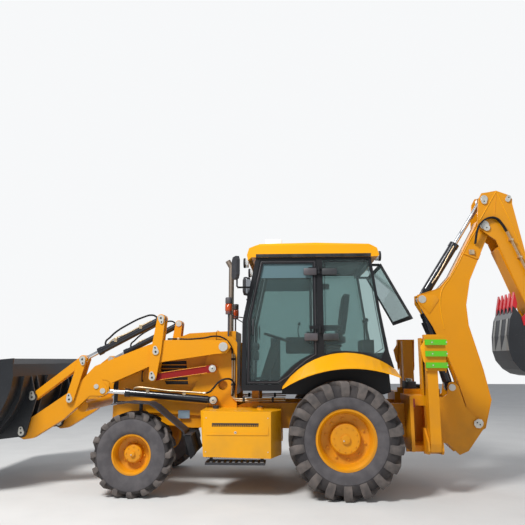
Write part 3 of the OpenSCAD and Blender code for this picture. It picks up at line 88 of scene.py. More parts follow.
def set_light():
    """A large soft lamp high on the camera's left, as the photo's sun, weak ones right and behind, and a pale sky."""
    scene = bpy.context.scene
    scene.view_settings.view_transform = "Standard"
    for name, place, size, power in (
        ("sun_side", (4.2, 6.6, 9.6), 2.4, 1380),
        ("shade_side", (-7.0, 5.0, 4.0), 5.0, 60),
        ("back_side", (0.0, -8.0, 7.0), 6.0, 170),
    ):
        bpy.ops.object.select_all(action="DESELECT")
        bpy.ops.object.light_add(type="AREA", location=place)
        lamp = bpy.context.object
        lamp.name = name
        lamp.data.size = size
        lamp.data.energy = power
        lamp.rotation_mode = "QUATERNION"
        lamp.rotation_quaternion = (Vector((0, 0, 1.2)) - Vector(place)).to_track_quat("-Z", "Y")
    world = bpy.data.worlds.new("pale_sky")
    scene.world = world
    world.use_nodes = True
    tree = world.node_tree
    tree.nodes.clear()
    path = put(tree, "ShaderNodeLightPath")
    sky = put(tree, "ShaderNodeBackground", ins={"Color": (0.86, 0.91, 1.0, 1), "Strength": 0.40})
    backdrop = put(tree, "ShaderNodeBackground", ins={"Color": (0.93, 0.94, 0.95, 1), "Strength": 1.0})
    seen = put(tree, "ShaderNodeMath", {"operation": "MAXIMUM"},
               {0: path.outputs["Is Camera Ray"], 1: path.outputs["Is Transmission Ray"]})
    mix = put(tree, "ShaderNodeMixShader", ins={0: seen.outputs[0], 1: sky.outputs[0], 2: backdrop.outputs[0]})
    put(tree, "ShaderNodeOutputWorld", ins={"Surface": mix.outputs[0]})


# ---- finishes
def put(tree, kind, sets=None, ins=None):
    """Adds a node with its settings, and its sockets' values or links."""
    node = tree.nodes.new(kind)
    for key, value in (sets or {}).items():
        setattr(node, key, value)
    for key, value in (ins or {}).items():
        if isinstance(value, bpy.types.NodeSocket):
            tree.links.new(value, node.inputs[key])
        else:
            node.inputs[key].default_value = value
    return node


def ink(code):
    """An sRGB hex value as linear colour."""
    part = [int(code[i:i + 2], 16) / 255 for i in (1, 3, 5)]
    return (*[c / 12.92 if c <= 0.04045 else ((c + 0.055) / 1.055) ** 2.4 for c in part], 1)


def start(name, **values):
    """A material with its shader, its Object coordinates and its uniform values."""
    material = bpy.data.materials.new(name)
    material.use_nodes = True
    tree = material.node_tree
    tree.nodes.clear()
    shader = put(tree, "ShaderNodeBsdfPrincipled", ins={k.replace("_", " "): v for k, v in values.items()})
    put(tree, "ShaderNodeOutputMaterial", ins={"Surface": shader.outputs[0]})
    place = put(tree, "ShaderNodeTexCoord").outputs["Object"]
    return material, tree, shader, place


def speckle(tree, place, scale, detail):
    """Plain noise."""
    return put(tree, "ShaderNodeTexNoise", ins={"Vector": place, "Scale": scale, "Detail": detail}).outputs["Fac"]


def blotches(tree, place, scale, detail, low, high):
    """Noise between two values, as a factor from 0 to 1."""
    return put(tree, "ShaderNodeMapRange", ins={0: speckle(tree, place, scale, detail), 1: low, 2: high}).outputs[0]


def blend_ink(tree, factor, first, second):
    mix = put(tree, "ShaderNodeMix", {"data_type": "RGBA"}, {0: factor, 6: first, 7: second})
    return mix.outputs[2]


def tint(tree, shader, factor, first, second):
    """Colours the shader by a mix of two inks."""
    tree.links.new(blend_ink(tree, factor, first, second), shader.inputs["Base Color"])


def relief(tree, shader, height, strength, distance):
    bump = put(tree, "ShaderNodeBump", ins={"Strength": strength, "Distance": distance, "Height": height})
    tree.links.new(bump.outputs[0], shader.inputs["Normal"])


def enamel(name, fresh, dusty, rough, grime=0.55, coat=0.12):
    """Sprayed enamel on plate: an even coat with orange peel of 3 mm, road dust low down, a slow change of tone."""
    m, tree, shader, place = start(name, IOR=1.5, Specular_IOR_Level=0.3, Coat_Weight=coat, Coat_Roughness=0.15)
    height = put(tree, "ShaderNodeSeparateXYZ", ins={0: place}).outputs["Z"]
    low = put(tree, "ShaderNodeMapRange", ins={0: height, 1: 1.15, 2: 0.25, 3: 0.08, 4: grime}).outputs[0]
    patch = blotches(tree, place, 3.2, 6, 0.42, 0.72)
    dust = put(tree, "ShaderNodeMath", {"operation": "MULTIPLY"}, {0: low, 1: patch}).outputs[0]
    tone = blotches(tree, place, 0.9, 2, 0.3, 0.7)
    paint = blend_ink(tree, tone, ink(fresh), tuple(c * 0.93 for c in ink(fresh)[:3]) + (1,))
    tint(tree, shader, dust, paint, ink(dusty))
    gloss = put(tree, "ShaderNodeMapRange", ins={0: dust, 1: 0.0, 2: 0.6, 3: rough, 4: 0.75}).outputs[0]
    tree.links.new(gloss, shader.inputs["Roughness"])
    peel = speckle(tree, place, 330.0, 1.0)
    relief(tree, shader, peel, 0.10, 0.0004)
    return m


def plastic(name, code, rough, grain):
    """Moulded polypropylene: matt, with a leather-like grain whose scale is given per metre."""
    m, tree, shader, place = start(name, IOR=1.49)
    tone = blotches(tree, place, 6.0, 4, 0.35, 0.75)
    pale = tuple(min(1, c * 1.5 + 0.012) for c in ink(code)[:3]) + (1,)
    tint(tree, shader, tone, ink(code), pale)
    shader.inputs["Roughness"].default_value = rough
    cells = put(tree, "ShaderNodeTexVoronoi", ins={"Vector": place, "Scale": grain}).outputs["Distance"]
    relief(tree, shader, cells, 0.25, 0.0006)
    return m


def metal(name, code, rough, brushed=0.0, metallic=1.0, stretch=(4, 60, 60)):
    """Bare or plated steel; brushed draws its lines along the stretch."""
    m, tree, shader, place = start(name, Metallic=metallic, Base_Color=ink(code))
    lines = put(tree, "ShaderNodeMapping", ins={"Vector": place, "Scale": stretch}).outputs[0]
    noise = speckle(tree, lines, 6.0, 5.0)
    low, high = max(0.03, rough - 0.08), rough + 0.14
    span = put(tree, "ShaderNodeMapRange", ins={0: noise, 1: 0.3, 2: 0.7, 3: low, 4: high}).outputs[0]
    tree.links.new(span, shader.inputs["Roughness"])
    if brushed:
        relief(tree, shader, noise, brushed, 0.0005)
    return m


def rubber(name, code, dusty, grain, strength=0.35):
    """Vulcanised rubber: no gloss, greyed by road dust that settles in patches, with a fine pitted skin."""
    m, tree, shader, place = start(name, IOR=1.52, Specular_IOR_Level=0.3)
    dust = blotches(tree, place, 9.0, 8, 0.38, 0.74)
    tint(tree, shader, dust, ink(code), ink(dusty))
    shader.inputs["Roughness"].default_value = 0.86
    skin = speckle(tree, place, grain, 4.0)
    relief(tree, shader, skin, strength, 0.0015)
    return m


def window_glass(name, code, film):
    """Green-grey safety glass; film is the height above which a printed sun band makes it milky."""
    m, tree, shader, place = start(name, IOR=1.46, Roughness=0.02, Transmission_Weight=0.93, Base_Color=ink(code))
    if film:
        height = put(tree, "ShaderNodeSeparateXYZ", ins={0: place}).outputs["Z"]
        band = put(tree, "ShaderNodeMath", {"operation": "GREATER_THAN"}, {0: height, 1: film}).outputs[0]
        tint(tree, shader, band, ink(code), ink("#6E8A90"))
        clarity = put(tree, "ShaderNodeMapRange", ins={0: band, 3: 0.93, 4: 0.35}).outputs[0]
        tree.links.new(clarity, shader.inputs["Transmission Weight"])
    return m


def lens(name, code):
    """Moulded acrylic lens with prism ribs about 5 mm apart."""
    m, tree, shader, place = start(name, IOR=1.49, Roughness=0.12, Transmission_Weight=0.35, Base_Color=ink(code),
                                   Coat_Weight=0.6)
    ribs = put(tree, "ShaderNodeTexWave", {"bands_direction": "Z"}, {"Vector": place, "Scale": 32.0}).outputs["Fac"]
    relief(tree, shader, ribs, 0.5, 0.002)
    return m


def seat_cloth(name):
    """Woven polyester seat cloth, threads drawn 4 mm apart so that they show, with a soft sheen."""
    m, tree, shader, place = start(name, Roughness=0.92, Sheen_Weight=0.35, Sheen_Roughness=0.5)
    warp = put(tree, "ShaderNodeTexWave", {"bands_direction": "Y"}, {"Vector": place, "Scale": 40.0}).outputs["Fac"]
    weft = put(tree, "ShaderNodeTexWave", {"bands_direction": "X"}, {"Vector": place, "Scale": 40.0}).outputs["Fac"]
    weave = put(tree, "ShaderNodeMath", {"operation": "MULTIPLY"}, {0: warp, 1: weft}).outputs[0]
    fleck = blotches(tree, place, 60.0, 3, 0.35, 0.7)
    tint(tree, shader, fleck, ink("#303236"), ink("#4B4E54"))
    relief(tree, shader, weave, 0.5, 0.002)
    return m


def cast_iron(name, code):
    """Sand-cast iron, dark and pitted at about 4 mm."""
    m, tree, shader, place = start(name, IOR=1.5, Metallic=0.25)
    spots = blotches(tree, place, 24.0, 6, 0.35, 0.7)
    tint(tree, shader, spots, ink(code), ink("#2A2724"))
    shader.inputs["Roughness"].default_value = 0.68
    relief(tree, shader, spots, 0.4, 0.003)
    return m


def worn_blade(name, code, bare):
    """Black bucket enamel scraped to bare steel in long thin scratches."""
    m, tree, shader, place = start(name, IOR=1.5, Coat_Weight=0.12, Coat_Roughness=0.3)
    lines = put(tree, "ShaderNodeMapping", ins={"Vector": place, "Scale": (14, 3, 26)}).outputs[0]
    marks = blotches(tree, lines, 3.0, 9, 0.64, 0.86)
    dust = blotches(tree, place, 2.2, 5, 0.35, 0.8)
    base = blend_ink(tree, dust, ink(code), ink("#24272B"))
    tint(tree, shader, marks, base, ink(bare))
    tree.links.new(put(tree, "ShaderNodeMapRange", ins={0: marks, 3: 0.42, 4: 0.62}).outputs[0],
                   shader.inputs["Roughness"])
    relief(tree, shader, marks, 0.2, 0.001)
    return m


yellow = enamel("sprayed_yellow_enamel", "#E19405", "#8E6A35", 0.4)
# A lighter copy of the yellow enamel: painted light on faces turned to the lamp, and painted highlights on beads,
# creases, rims and lips.
lit_yellow = enamel("sprayed_yellow_enamel_painted_lit", "#F0A603", "#A07C3C", 0.34, 0.4, 0.2)
red = enamel("sprayed_red_enamel", "#8E1512", "#5E3A2C", 0.4)
gloss_black = enamel("sprayed_black_enamel", "#1B1C22", "#4A4541", 0.3, 0.5, 0.6)
post_black = enamel("powder_coated_black_posts", "#1A1B1E", "#4B4843", 0.45, 0.3, 0.1)
blade = worn_blade("scraped_black_bucket_enamel", "#17191D", "#55575A")
wear_steel = metal("scoured_wear_steel", "#B9B7B0", 0.34, 0.3)
chrome = metal("hard_chromed_rod", "#D9DADB", 0.22, stretch=(2, 2, 2))
zinc = metal("zinc_plated_cover", "#D6D4CB", 0.42, 0.08, 0.75)
tube_steel = metal("zinc_nickel_tube", "#CDB694", 0.34, 0.0, 0.8)
stack_steel = metal("heat_tinted_stack_steel", "#8C8074", 0.5, 0.25, 0.85, (6, 6, 40))
iron = cast_iron("cast_iron", "#44464A")
tread_rubber = rubber("dusty_tyre_rubber", "#514C4A", "#736A65", 90.0)
# Darker rubber for the tread between the lugs: painted shade in the grooves.
groove_shade_rubber = rubber("tyre_groove_painted_shade_rubber", "#343132", "#4C4745", 120.0)
wall_rubber = rubber("tyre_sidewall_rubber", "#504D4F", "#625E5F", 260.0, 0.12)
hose_rubber = rubber("braided_hose_rubber", "#17171A", "#2E2C2B", 500.0, 0.4)
seal_rubber = rubber("window_seal_rubber", "#222326", "#3A3A3B", 400.0, 0.2)
green_rubber = rubber("green_pad_rubber", "#58C41D", "#6FA83E", 200.0, 0.25)
guard_plastic = plastic("moulded_black_mudguard", "#26262A", 0.55, 420.0)
trim_plastic = plastic("moulded_grey_trim", "#454144", 0.5, 500.0)
cabin_plastic = plastic("moulded_cabin_plastic", "#2A2C2E", 0.6, 380.0)
white_plastic = plastic("moulded_white_plastic", "#E9E9E6", 0.4, 500.0)
grille_plastic = plastic("moulded_black_grille", "#1B1B1D", 0.5, 500.0)
door_glass = window_glass("green_grey_door_glass", "#9DB5B3", 2.600)
side_glass = window_glass("green_grey_window_glass", "#A3BAB8", 0)
amber = lens("amber_lens", "#D9540F")
ruby = lens("red_lens", "#A80F14")
frost = lens("clear_lamp_lens", "#DCE3E6")
cloth = seat_cloth("woven_seat_cloth")
tooth_red = enamel("dipped_red_tooth_paint", "#C81E28", "#7A3330", 0.35)
blue_plate = metal("anodised_blank_plate", "#9FB6C6", 0.4, 0.05, 0.6)


def finish(node, base, *rules):
    """Gives a CAD node its finish. A rule is a finish and a test of a face's middle, in the source's millimetres."""
    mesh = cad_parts[node].data
    mesh.materials.clear()
    for material in (base, *[r[0] for r in rules]):
        mesh.materials.append(material)
    for face in mesh.polygons:
        x, y, z = (face.center.x - AXLE_X) * 1000, face.center.y * 1000, face.center.z * 1000
        face.material_index = 0
        for k, (_, test) in enumerate(rules):
            if test(x, y, z):
                face.material_index = k + 1


def near(px, pz, radius, out=0.0):
    """A test for faces round a pin, further than out from the machine's middle."""
    return lambda x, y, z: (x - px) ** 2 + (z - pz) ** 2 < radius ** 2 and abs(y) > out


def either(*tests):
    """A test that passes where one of the tests does."""
    return lambda x, y, z: any(test(x, y, z) for test in tests)


# Pins of the source, x and z in millimetres
PINS = {
    "arm": (1482, 1735), "level": (1620, 1462), "lift": (1604, 1072), "lift_rod": (3010, 1184),
    "lever": (2340, 1672), "lever_top": (2286, 2099), "lever_foot": (2374, 1352), "front": (3421, 1080),
    "front_top": (3282, 1579), "bucket_top": (3902, 1106), "bucket": (4010, 673),
    "boom": (-1783, 754), "boom_cylinder": (-1478, 1215), "boom_middle": (-1164, 2382), "dipper": (-2046, 3393),
    "dipper_rod": (-2065, 3767), "bucket_cylinder": (-2381, 3748),
}


def dress_nodes():
    """Finishes of the CAD nodes that stay."""
    for node in ("axles", "front_levers", "front_links", "rocker", "bucket_link", "bonnet",
                 "rear_rim_left", "rear_rim_right", "front_rim_left", "front_rim_right"):
        finish(node, yellow)
    finish("main_frame", yellow, (zinc, near(*PINS["arm"], 62, 594)), (zinc, near(*PINS["level"], 50, PIN_FACE)),
           (zinc, near(*PINS["lift"], 50, PIN_FACE)), (zinc, near(1606, 1950, 6.5)))
    knee = either(near(*PINS["lift_rod"], 40, PIN_FACE), near(3095, 1239, 36, PIN_FACE))
    finish("loader_arms", yellow, (zinc, knee))
    finish("levers", yellow, (zinc, lambda x, y, z: abs(y) > 641 and z < 1900))
    for node in ("lever_pins", "front_lever_pins", "front_link_pins", "bucket_pins"):
        finish(node, zinc)
    pins = either(near(*PINS["boom"], 52, POST_FACE), near(*PINS["boom_cylinder"], 46, POST_FACE))
    finish("swing_post", yellow, (zinc, pins))
    finish("boom", yellow, (zinc, near(*PINS["boom_middle"], 54, BOOM_FACE)))
    finish("dipper", yellow, (zinc, lambda x, y, z: abs(y) > DIPPER_FACE))
    finish("engine", iron, (stack_steel, lambda x, y, z: x < 1635))
    finish("front_grille", grille_plastic, (frost, lambda x, y, z: x > 2953))
    finish("front_mudguards", guard_plastic, (yellow, lambda x, y, z: z < 1000 and abs(y) < 440))
    finish("cab_frame", post_black, (seal_rubber, lambda x, y, z: x < -600),
           (guard_plastic, lambda x, y, z: abs(y) > 760))
    # Roof, fenders and side boxes take the lighter yellow: painted light on their lit faces.
    for node in ("cab_roof", "rear_fenders"):
        finish(node, lit_yellow)
    finish("side_boxes", lit_yellow,
           (guard_plastic, lambda x, y, z: z < 440 or z > 985.5),
           (grille_plastic, lambda x, y, z: 985 < abs(y) < 999.5 and 795 < z < 870 and 1005 < x < 1560))
    finish("console", cabin_plastic, (seal_rubber, lambda x, y, z: z > 1790))
    finish("lamps", amber, (frost, lambda x, y, z: z > 2700), (ruby, lambda x, y, z: x < -700 and z < 1200),
           (trim_plastic, lambda x, y, z: 1380 < x < 1500 and (z > 2284 or z < 2190)))
    for side, _ in SIDES:
        finish(f"door_{side}", post_black)
        finish(f"door_glass_{side}", door_glass)
        finish(f"knuckle_{side}", iron)
        finish(f"stabiliser_{side}", yellow, (green_rubber, lambda x, y, z: abs(y) > 874.2 and z > 1440))
        finish(f"stabiliser_barrel_{side}", gloss_black)
        finish(f"stabiliser_rod_{side}", chrome)
    finish("cab_glass", side_glass)
    for node in ("lift_barrels", "tilt_barrels", "boom_barrel", "dipper_barrel", "bucket_barrel"):
        finish(node, gloss_black)
    for node in ("lift_rods", "tilt_rods", "boom_rod", "dipper_rod", "bucket_rod"):
        finish(node, chrome)
    finish("level_links", red)
    finish("loader_bucket", blade, (wear_steel, lambda x, y, z: x > 4900),
           (zinc, lambda x, y, z: abs(y) > 641 and abs(y) < 660))
    finish("digging_bucket", blade,
           (tooth_red, lambda x, y, z: (z > 2232 and x > -2360) or abs(y) > 300.5 and x > -2520 and z > 1990),
           (wear_steel, lambda x, y, z: x > -2240 and 1700 < z < 2104 and on_strip(x, z)),
           (zinc, lambda x, y, z: abs(y) > 280 and z < 1780 and x < -2700))


def on_strip(x, z):
    """The front face of the wear strips, which stands 4 mm off the bucket."""
    edge = -2186 if z < 1885 else -2186 - (z - 1885) * 0.18
    return x > edge - 7


# ---- making pieces
def clear():
    """Goes back to object mode with nothing selected."""
    if bpy.context.mode != "OBJECT":
        bpy.ops.object.mode_set(mode="OBJECT")
    bpy.ops.object.select_all(action="DESELECT")


def settle(piece, name, material, bevel=0.0, smooth=True):
    """Names a piece, rounds its edges, shades it and puts its place into its mesh."""
    piece.name = name
    clear()
    piece.select_set(True)
    bpy.context.view_layer.objects.active = piece
    bpy.ops.object.transform_apply(location=True, rotation=True, scale=True)
    if bevel:
        round_over = piece.modifiers.new("edge", "BEVEL")
        round_over.width, round_over.segments = bevel / 1000, 2
        round_over.limit_method, round_over.angle_limit = "ANGLE", math.radians(BEVEL_ANGLE)
        bpy.ops.object.modifier_apply(modifier=round_over.name)
    if smooth:
        bpy.ops.object.shade_smooth_by_angle(angle=math.radians(SMOOTH_ANGLE))
    piece.data.materials.clear()
    piece.data.materials.append(material)
    return piece


def edit(*steps):
    """Runs mesh operators in turn, each on the whole active mesh."""
    bpy.ops.object.mode_set(mode="EDIT")
    for step, values in steps:
        bpy.ops.mesh.select_all(action="SELECT")
        step(**values)
    bpy.ops.object.mode_set(mode="OBJECT")


OUTWARD = (bpy.ops.mesh.normals_make_consistent, {"inside": False})
WELDED = (bpy.ops.mesh.remove_doubles, {"threshold": WELD})


def block(name, material, low, high, bevel=2.0, turn=0.0):
    """A bar or cover between two opposite corners, with rounded edges, turned about its upright by some degrees."""
    clear()
    size = [abs(b - a) / 1000 for a, b in zip(low, high)]
    middle = here(*[(a + b) / 2 for a, b in zip(low, high)])
    bpy.ops.mesh.primitive_cube_add(size=1, location=middle)
    bpy.context.object.scale = size
    bpy.context.object.rotation_euler = (0, 0, math.radians(turn))
    return settle(bpy.context.object, name, material, bevel)


def round_bar(name, material, centre, radius, length, way="Y", bevel=1.0, corners=24):
    """A pin, cap or bolt: a cylinder about its centre along one axis."""
    clear()
    turn = {"X": (0, math.pi / 2, 0), "Y": (math.pi / 2, 0, 0), "Z": (0, 0, 0)}[way]
    bpy.ops.mesh.primitive_cylinder_add(vertices=corners, radius=radius / 1000, depth=length / 1000,
                                        location=here(*centre), rotation=turn)
    return settle(bpy.context.object, name, material, bevel)


def screw(centre, radius=9):
    """The dark head of a screw in a pin's cover."""
    return round_bar("screw", seal_rubber, centre, radius, 6, corners=6, bevel=0.8)


def plate(name, material, outline, y0, y1, bevel=1.5):
    """A flat plate: its outline in x and z, pulled from y0 to y1."""
    clear()
    bpy.ops.mesh.primitive_circle_add(vertices=len(outline), radius=1, fill_type="NGON")
    piece = bpy.context.object
    for vertex, (x, z) in zip(piece.data.vertices, outline):
        vertex.co = here(x, y0, z)
    edit((bpy.ops.mesh.extrude_region_move, {"TRANSFORM_OT_translate": {"value": (0, (y1 - y0) / 1000, 0)}}), OUTWARD)
    return settle(piece, name, material, bevel)


def turned(name, material, profile, centre, way=1, steps=64, bevel=0.0):
    """A ring turned about the Y axis through centre: its profile in radius and y."""
    clear()
    bpy.ops.mesh.primitive_circle_add(vertices=len(profile), radius=1, fill_type="NOTHING")
    piece = bpy.context.object
    for vertex, (radius, y) in zip(piece.data.vertices, profile):
        vertex.co = here(centre[0] + radius, centre[1] + way * y, centre[2])
    spin = {"steps": steps, "angle": 2 * math.pi, "center": here(*centre), "axis": (0, 1, 0)}
    edit((bpy.ops.mesh.spin, spin), WELDED, OUTWARD)
    return settle(piece, name, material, bevel)


def pipe(name, material, points, radius, corners=3, smooth=True):
    """A tube or hose along points, with soft bends or straight runs."""
    clear()
    bpy.ops.curve.primitive_bezier_curve_add()
    piece = bpy.context.object
    curve = piece.data
    curve.splines.clear()
    run = curve.splines.new("BEZIER" if smooth else "POLY")
    if smooth:
        run.bezier_points.add(len(points) - 1)
        for knot, p in zip(run.bezier_points, points):
            knot.co = here(*p)
            knot.handle_left_type = knot.handle_right_type = "AUTO"
    else:
        run.points.add(len(points) - 1)
        for knot, p in zip(run.points, points):
            knot.co = (*here(*p), 1)
    curve.dimensions = "3D"
    curve.resolution_u = 10
    curve.bevel_depth = radius / 1000
    curve.bevel_resolution = corners
    curve.use_fill_caps = True
    bpy.ops.object.convert(target="MESH")
    return settle(bpy.context.object, name, material)


def oil_tube(points, radius):
    return pipe("tube", tube_steel, points, radius)


def oil_hose(points, radius):
    return pipe("hose", hose_rubber, points, radius)


def level_run(y, *places):
    """Points that share one y, from their x and z."""
    return [(x, y, z) for x, z in places]


def gather(name, pieces, body="chassis"):
    """Joins pieces into one that rides on a body."""
    clear()
    for p in pieces:
        p.select_set(True)
    bpy.context.view_layer.objects.active = pieces[0]
    if len(pieces) > 1:
        bpy.ops.object.join()
    whole = bpy.context.view_layer.objects.active
    whole.name = name
    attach(whole, body)
    return whole


def ray(turn):
    """The direction in x and z of an angle in degrees."""
    return math.cos(math.radians(turn)), math.sin(math.radians(turn))


def ring_of(count, centre, radius, offset):
    """Places of count bolts round a circle in the x-z plane."""
    return [(centre[0] + radius * math.cos(a), centre[1] + radius * math.sin(a))
            for a in [offset + 2 * math.pi * i / count for i in range(count)]]


# ---- wheels
def dress_wheels():
    """Nuts on the disc, small bolts on the hub's cover, its centre boss and plug, and the tyre."""
    for side, s in SIDES:
        for axle, nuts, nut_y, nut_r, bolts, cover_y, boss in (
            ("rear", (10, 230), 22, 15, (12, 138), 90, 52),
            ("front", (8, 128), -13, 12, (8, 82), 60, 30),
        ):
            x, y, z = TYRES[axle][0]
            parts = []
            for px, pz in ring_of(nuts[0], (x, z), nuts[1], 0.2):
                parts.append(round_bar("nut", yellow, (px, s * (y + nut_y + 9), pz), nut_r, 20, corners=6))
            for px, pz in ring_of(bolts[0], (x, z), bolts[1], 0.1):
                parts.append(round_bar("bolt", yellow, (px, s * (y + cover_y + 4), pz), 8, 10, corners=6, bevel=0.5))
            parts.append(round_bar("boss", yellow, (x, s * (y + cover_y + 9), z), boss, 22, bevel=4, corners=40))
            plug = (x + boss * 0.45, s * (y + cover_y + 22), z - boss * 0.3)
            parts.append(round_bar("plug", zinc, plug, 9, 8, corners=6))
            body = f"{axle}_wheel_{side}"
            gather(f"{axle}_hub_fittings_{side}", parts, body)
            tyre(side, s, axle)


# Tyres: centre, profile of the outer skin from bead to crown as radius and y, lugs round each half, and the
# stations of a lug as radius and y of its foot, radius and y of its top, angle of its middle and half its width.
TYRES = {
    "rear": (
        (0, 885, 665),
        ((352, 174), (366, 188), (400, 198), (446, 205), (478, 206), (481, 202.5), (484, 204), (512, 202), (552, 195),
         (588, 180), (608, 152), (622, 84), (628, 0)),
        18,
        ((486, 196, 488, 204, 0.0, 42), (530, 192, 536, 214.5, 0.0, 48), (575, 180, 612, 214.5, 0.0, 50),
         (596, 160, 652, 197, 0.012, 50), (610, 138, 664.5, 166, 0.035, 48), (620, 74, 664.5, 74, 0.14, 44),
         (624, -8, 664.5, -8, 0.27, 38)),
    ),
    "front": (
        (2495, 895, 482),
        ((234, 129), (246, 142), (280, 151), (330, 156.5), (376, 156), (402, 150), (405, 146), (408, 148), (424, 142),
         (438, 126), (445, 80), (448, 0)),
        16,
        ((404, 143, 407, 150, 0.0, 24), (420, 140, 438, 158, 0.0, 32), (432, 124, 468, 150, 0.008, 34),
         (438, 108, 481.5, 131, 0.03, 34), (442, 60, 481.5, 60, 0.13, 31), (444, -6, 481.5, -6, 0.25, 27)),
    ),
}


def tread_lug(stations, centre, y_way, turn, count):
    """One rubber lug, from the flank over the shoulder to the crown, repeated round the tyre."""
    clear()
    bpy.ops.mesh.primitive_grid_add(x_subdivisions=4, y_subdivisions=len(stations) - 1, size=1)
    piece = bpy.context.object
    for i, vertex in enumerate(piece.data.vertices):
        row, corner = divmod(i, 5)
        foot_r, foot_y, top_r, top_y, middle, half = stations[row]
        r, y = (foot_r, foot_y) if corner in (0, 3, 4) else (top_r, top_y)
        a = turn - middle + (-1 if corner in (0, 1, 4) else 1) * half / r
        vertex.co = here(centre[0] + r * math.cos(a), centre[1] + y_way * y, centre[2] + r * math.sin(a))
    edit(WELDED, (bpy.ops.mesh.fill_holes, {"sides": 4}), OUTWARD)
    piece = settle(piece, "lug", tread_rubber, 5)
    spin = {"steps": count - 1, "angle": 2 * math.pi * (count - 1) / count, "dupli": True,
            "center": here(*centre), "axis": (0, 1, 0)}
    edit((bpy.ops.mesh.spin, spin), OUTWARD)
    return piece


def tyre(side, s, axle):
    """A tyre of a turned carcass with a smooth flank, and two rows of lugs set half a step apart."""
    (x, y, z), skin, count, stations = TYRES[axle]
    centre = (x, s * y, z)
    profile = list(skin) + [(r, -out) for r, out in skin[-2::-1]]
    carcass = turned("carcass", wall_rubber, profile, centre, 1, 96)
    # Past the flank, the carcass between the lugs takes the darker groove rubber: painted shade in the grooves.
    carcass.data.materials.append(groove_shade_rubber)
    rim_of_wall = skin[5][0] / 1000
    for face in carcass.data.polygons:
        away = Vector((face.center.x, 0, face.center.z)) - Vector((here(*centre).x, 0, here(*centre).z))
        face.material_index = 1 if away.length > rim_of_wall else 0
    parts = [carcass]
    for row in (1, -1):
        parts.append(tread_lug(stations, centre, row, -math.pi / 2 + (0 if row > 0 else math.pi / count), count))
    whole = gather(f"{axle}_tyre_{side}_with_lugs", parts, f"{axle}_wheel_{side}")
    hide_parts(f"{axle}_tyre_{side}")


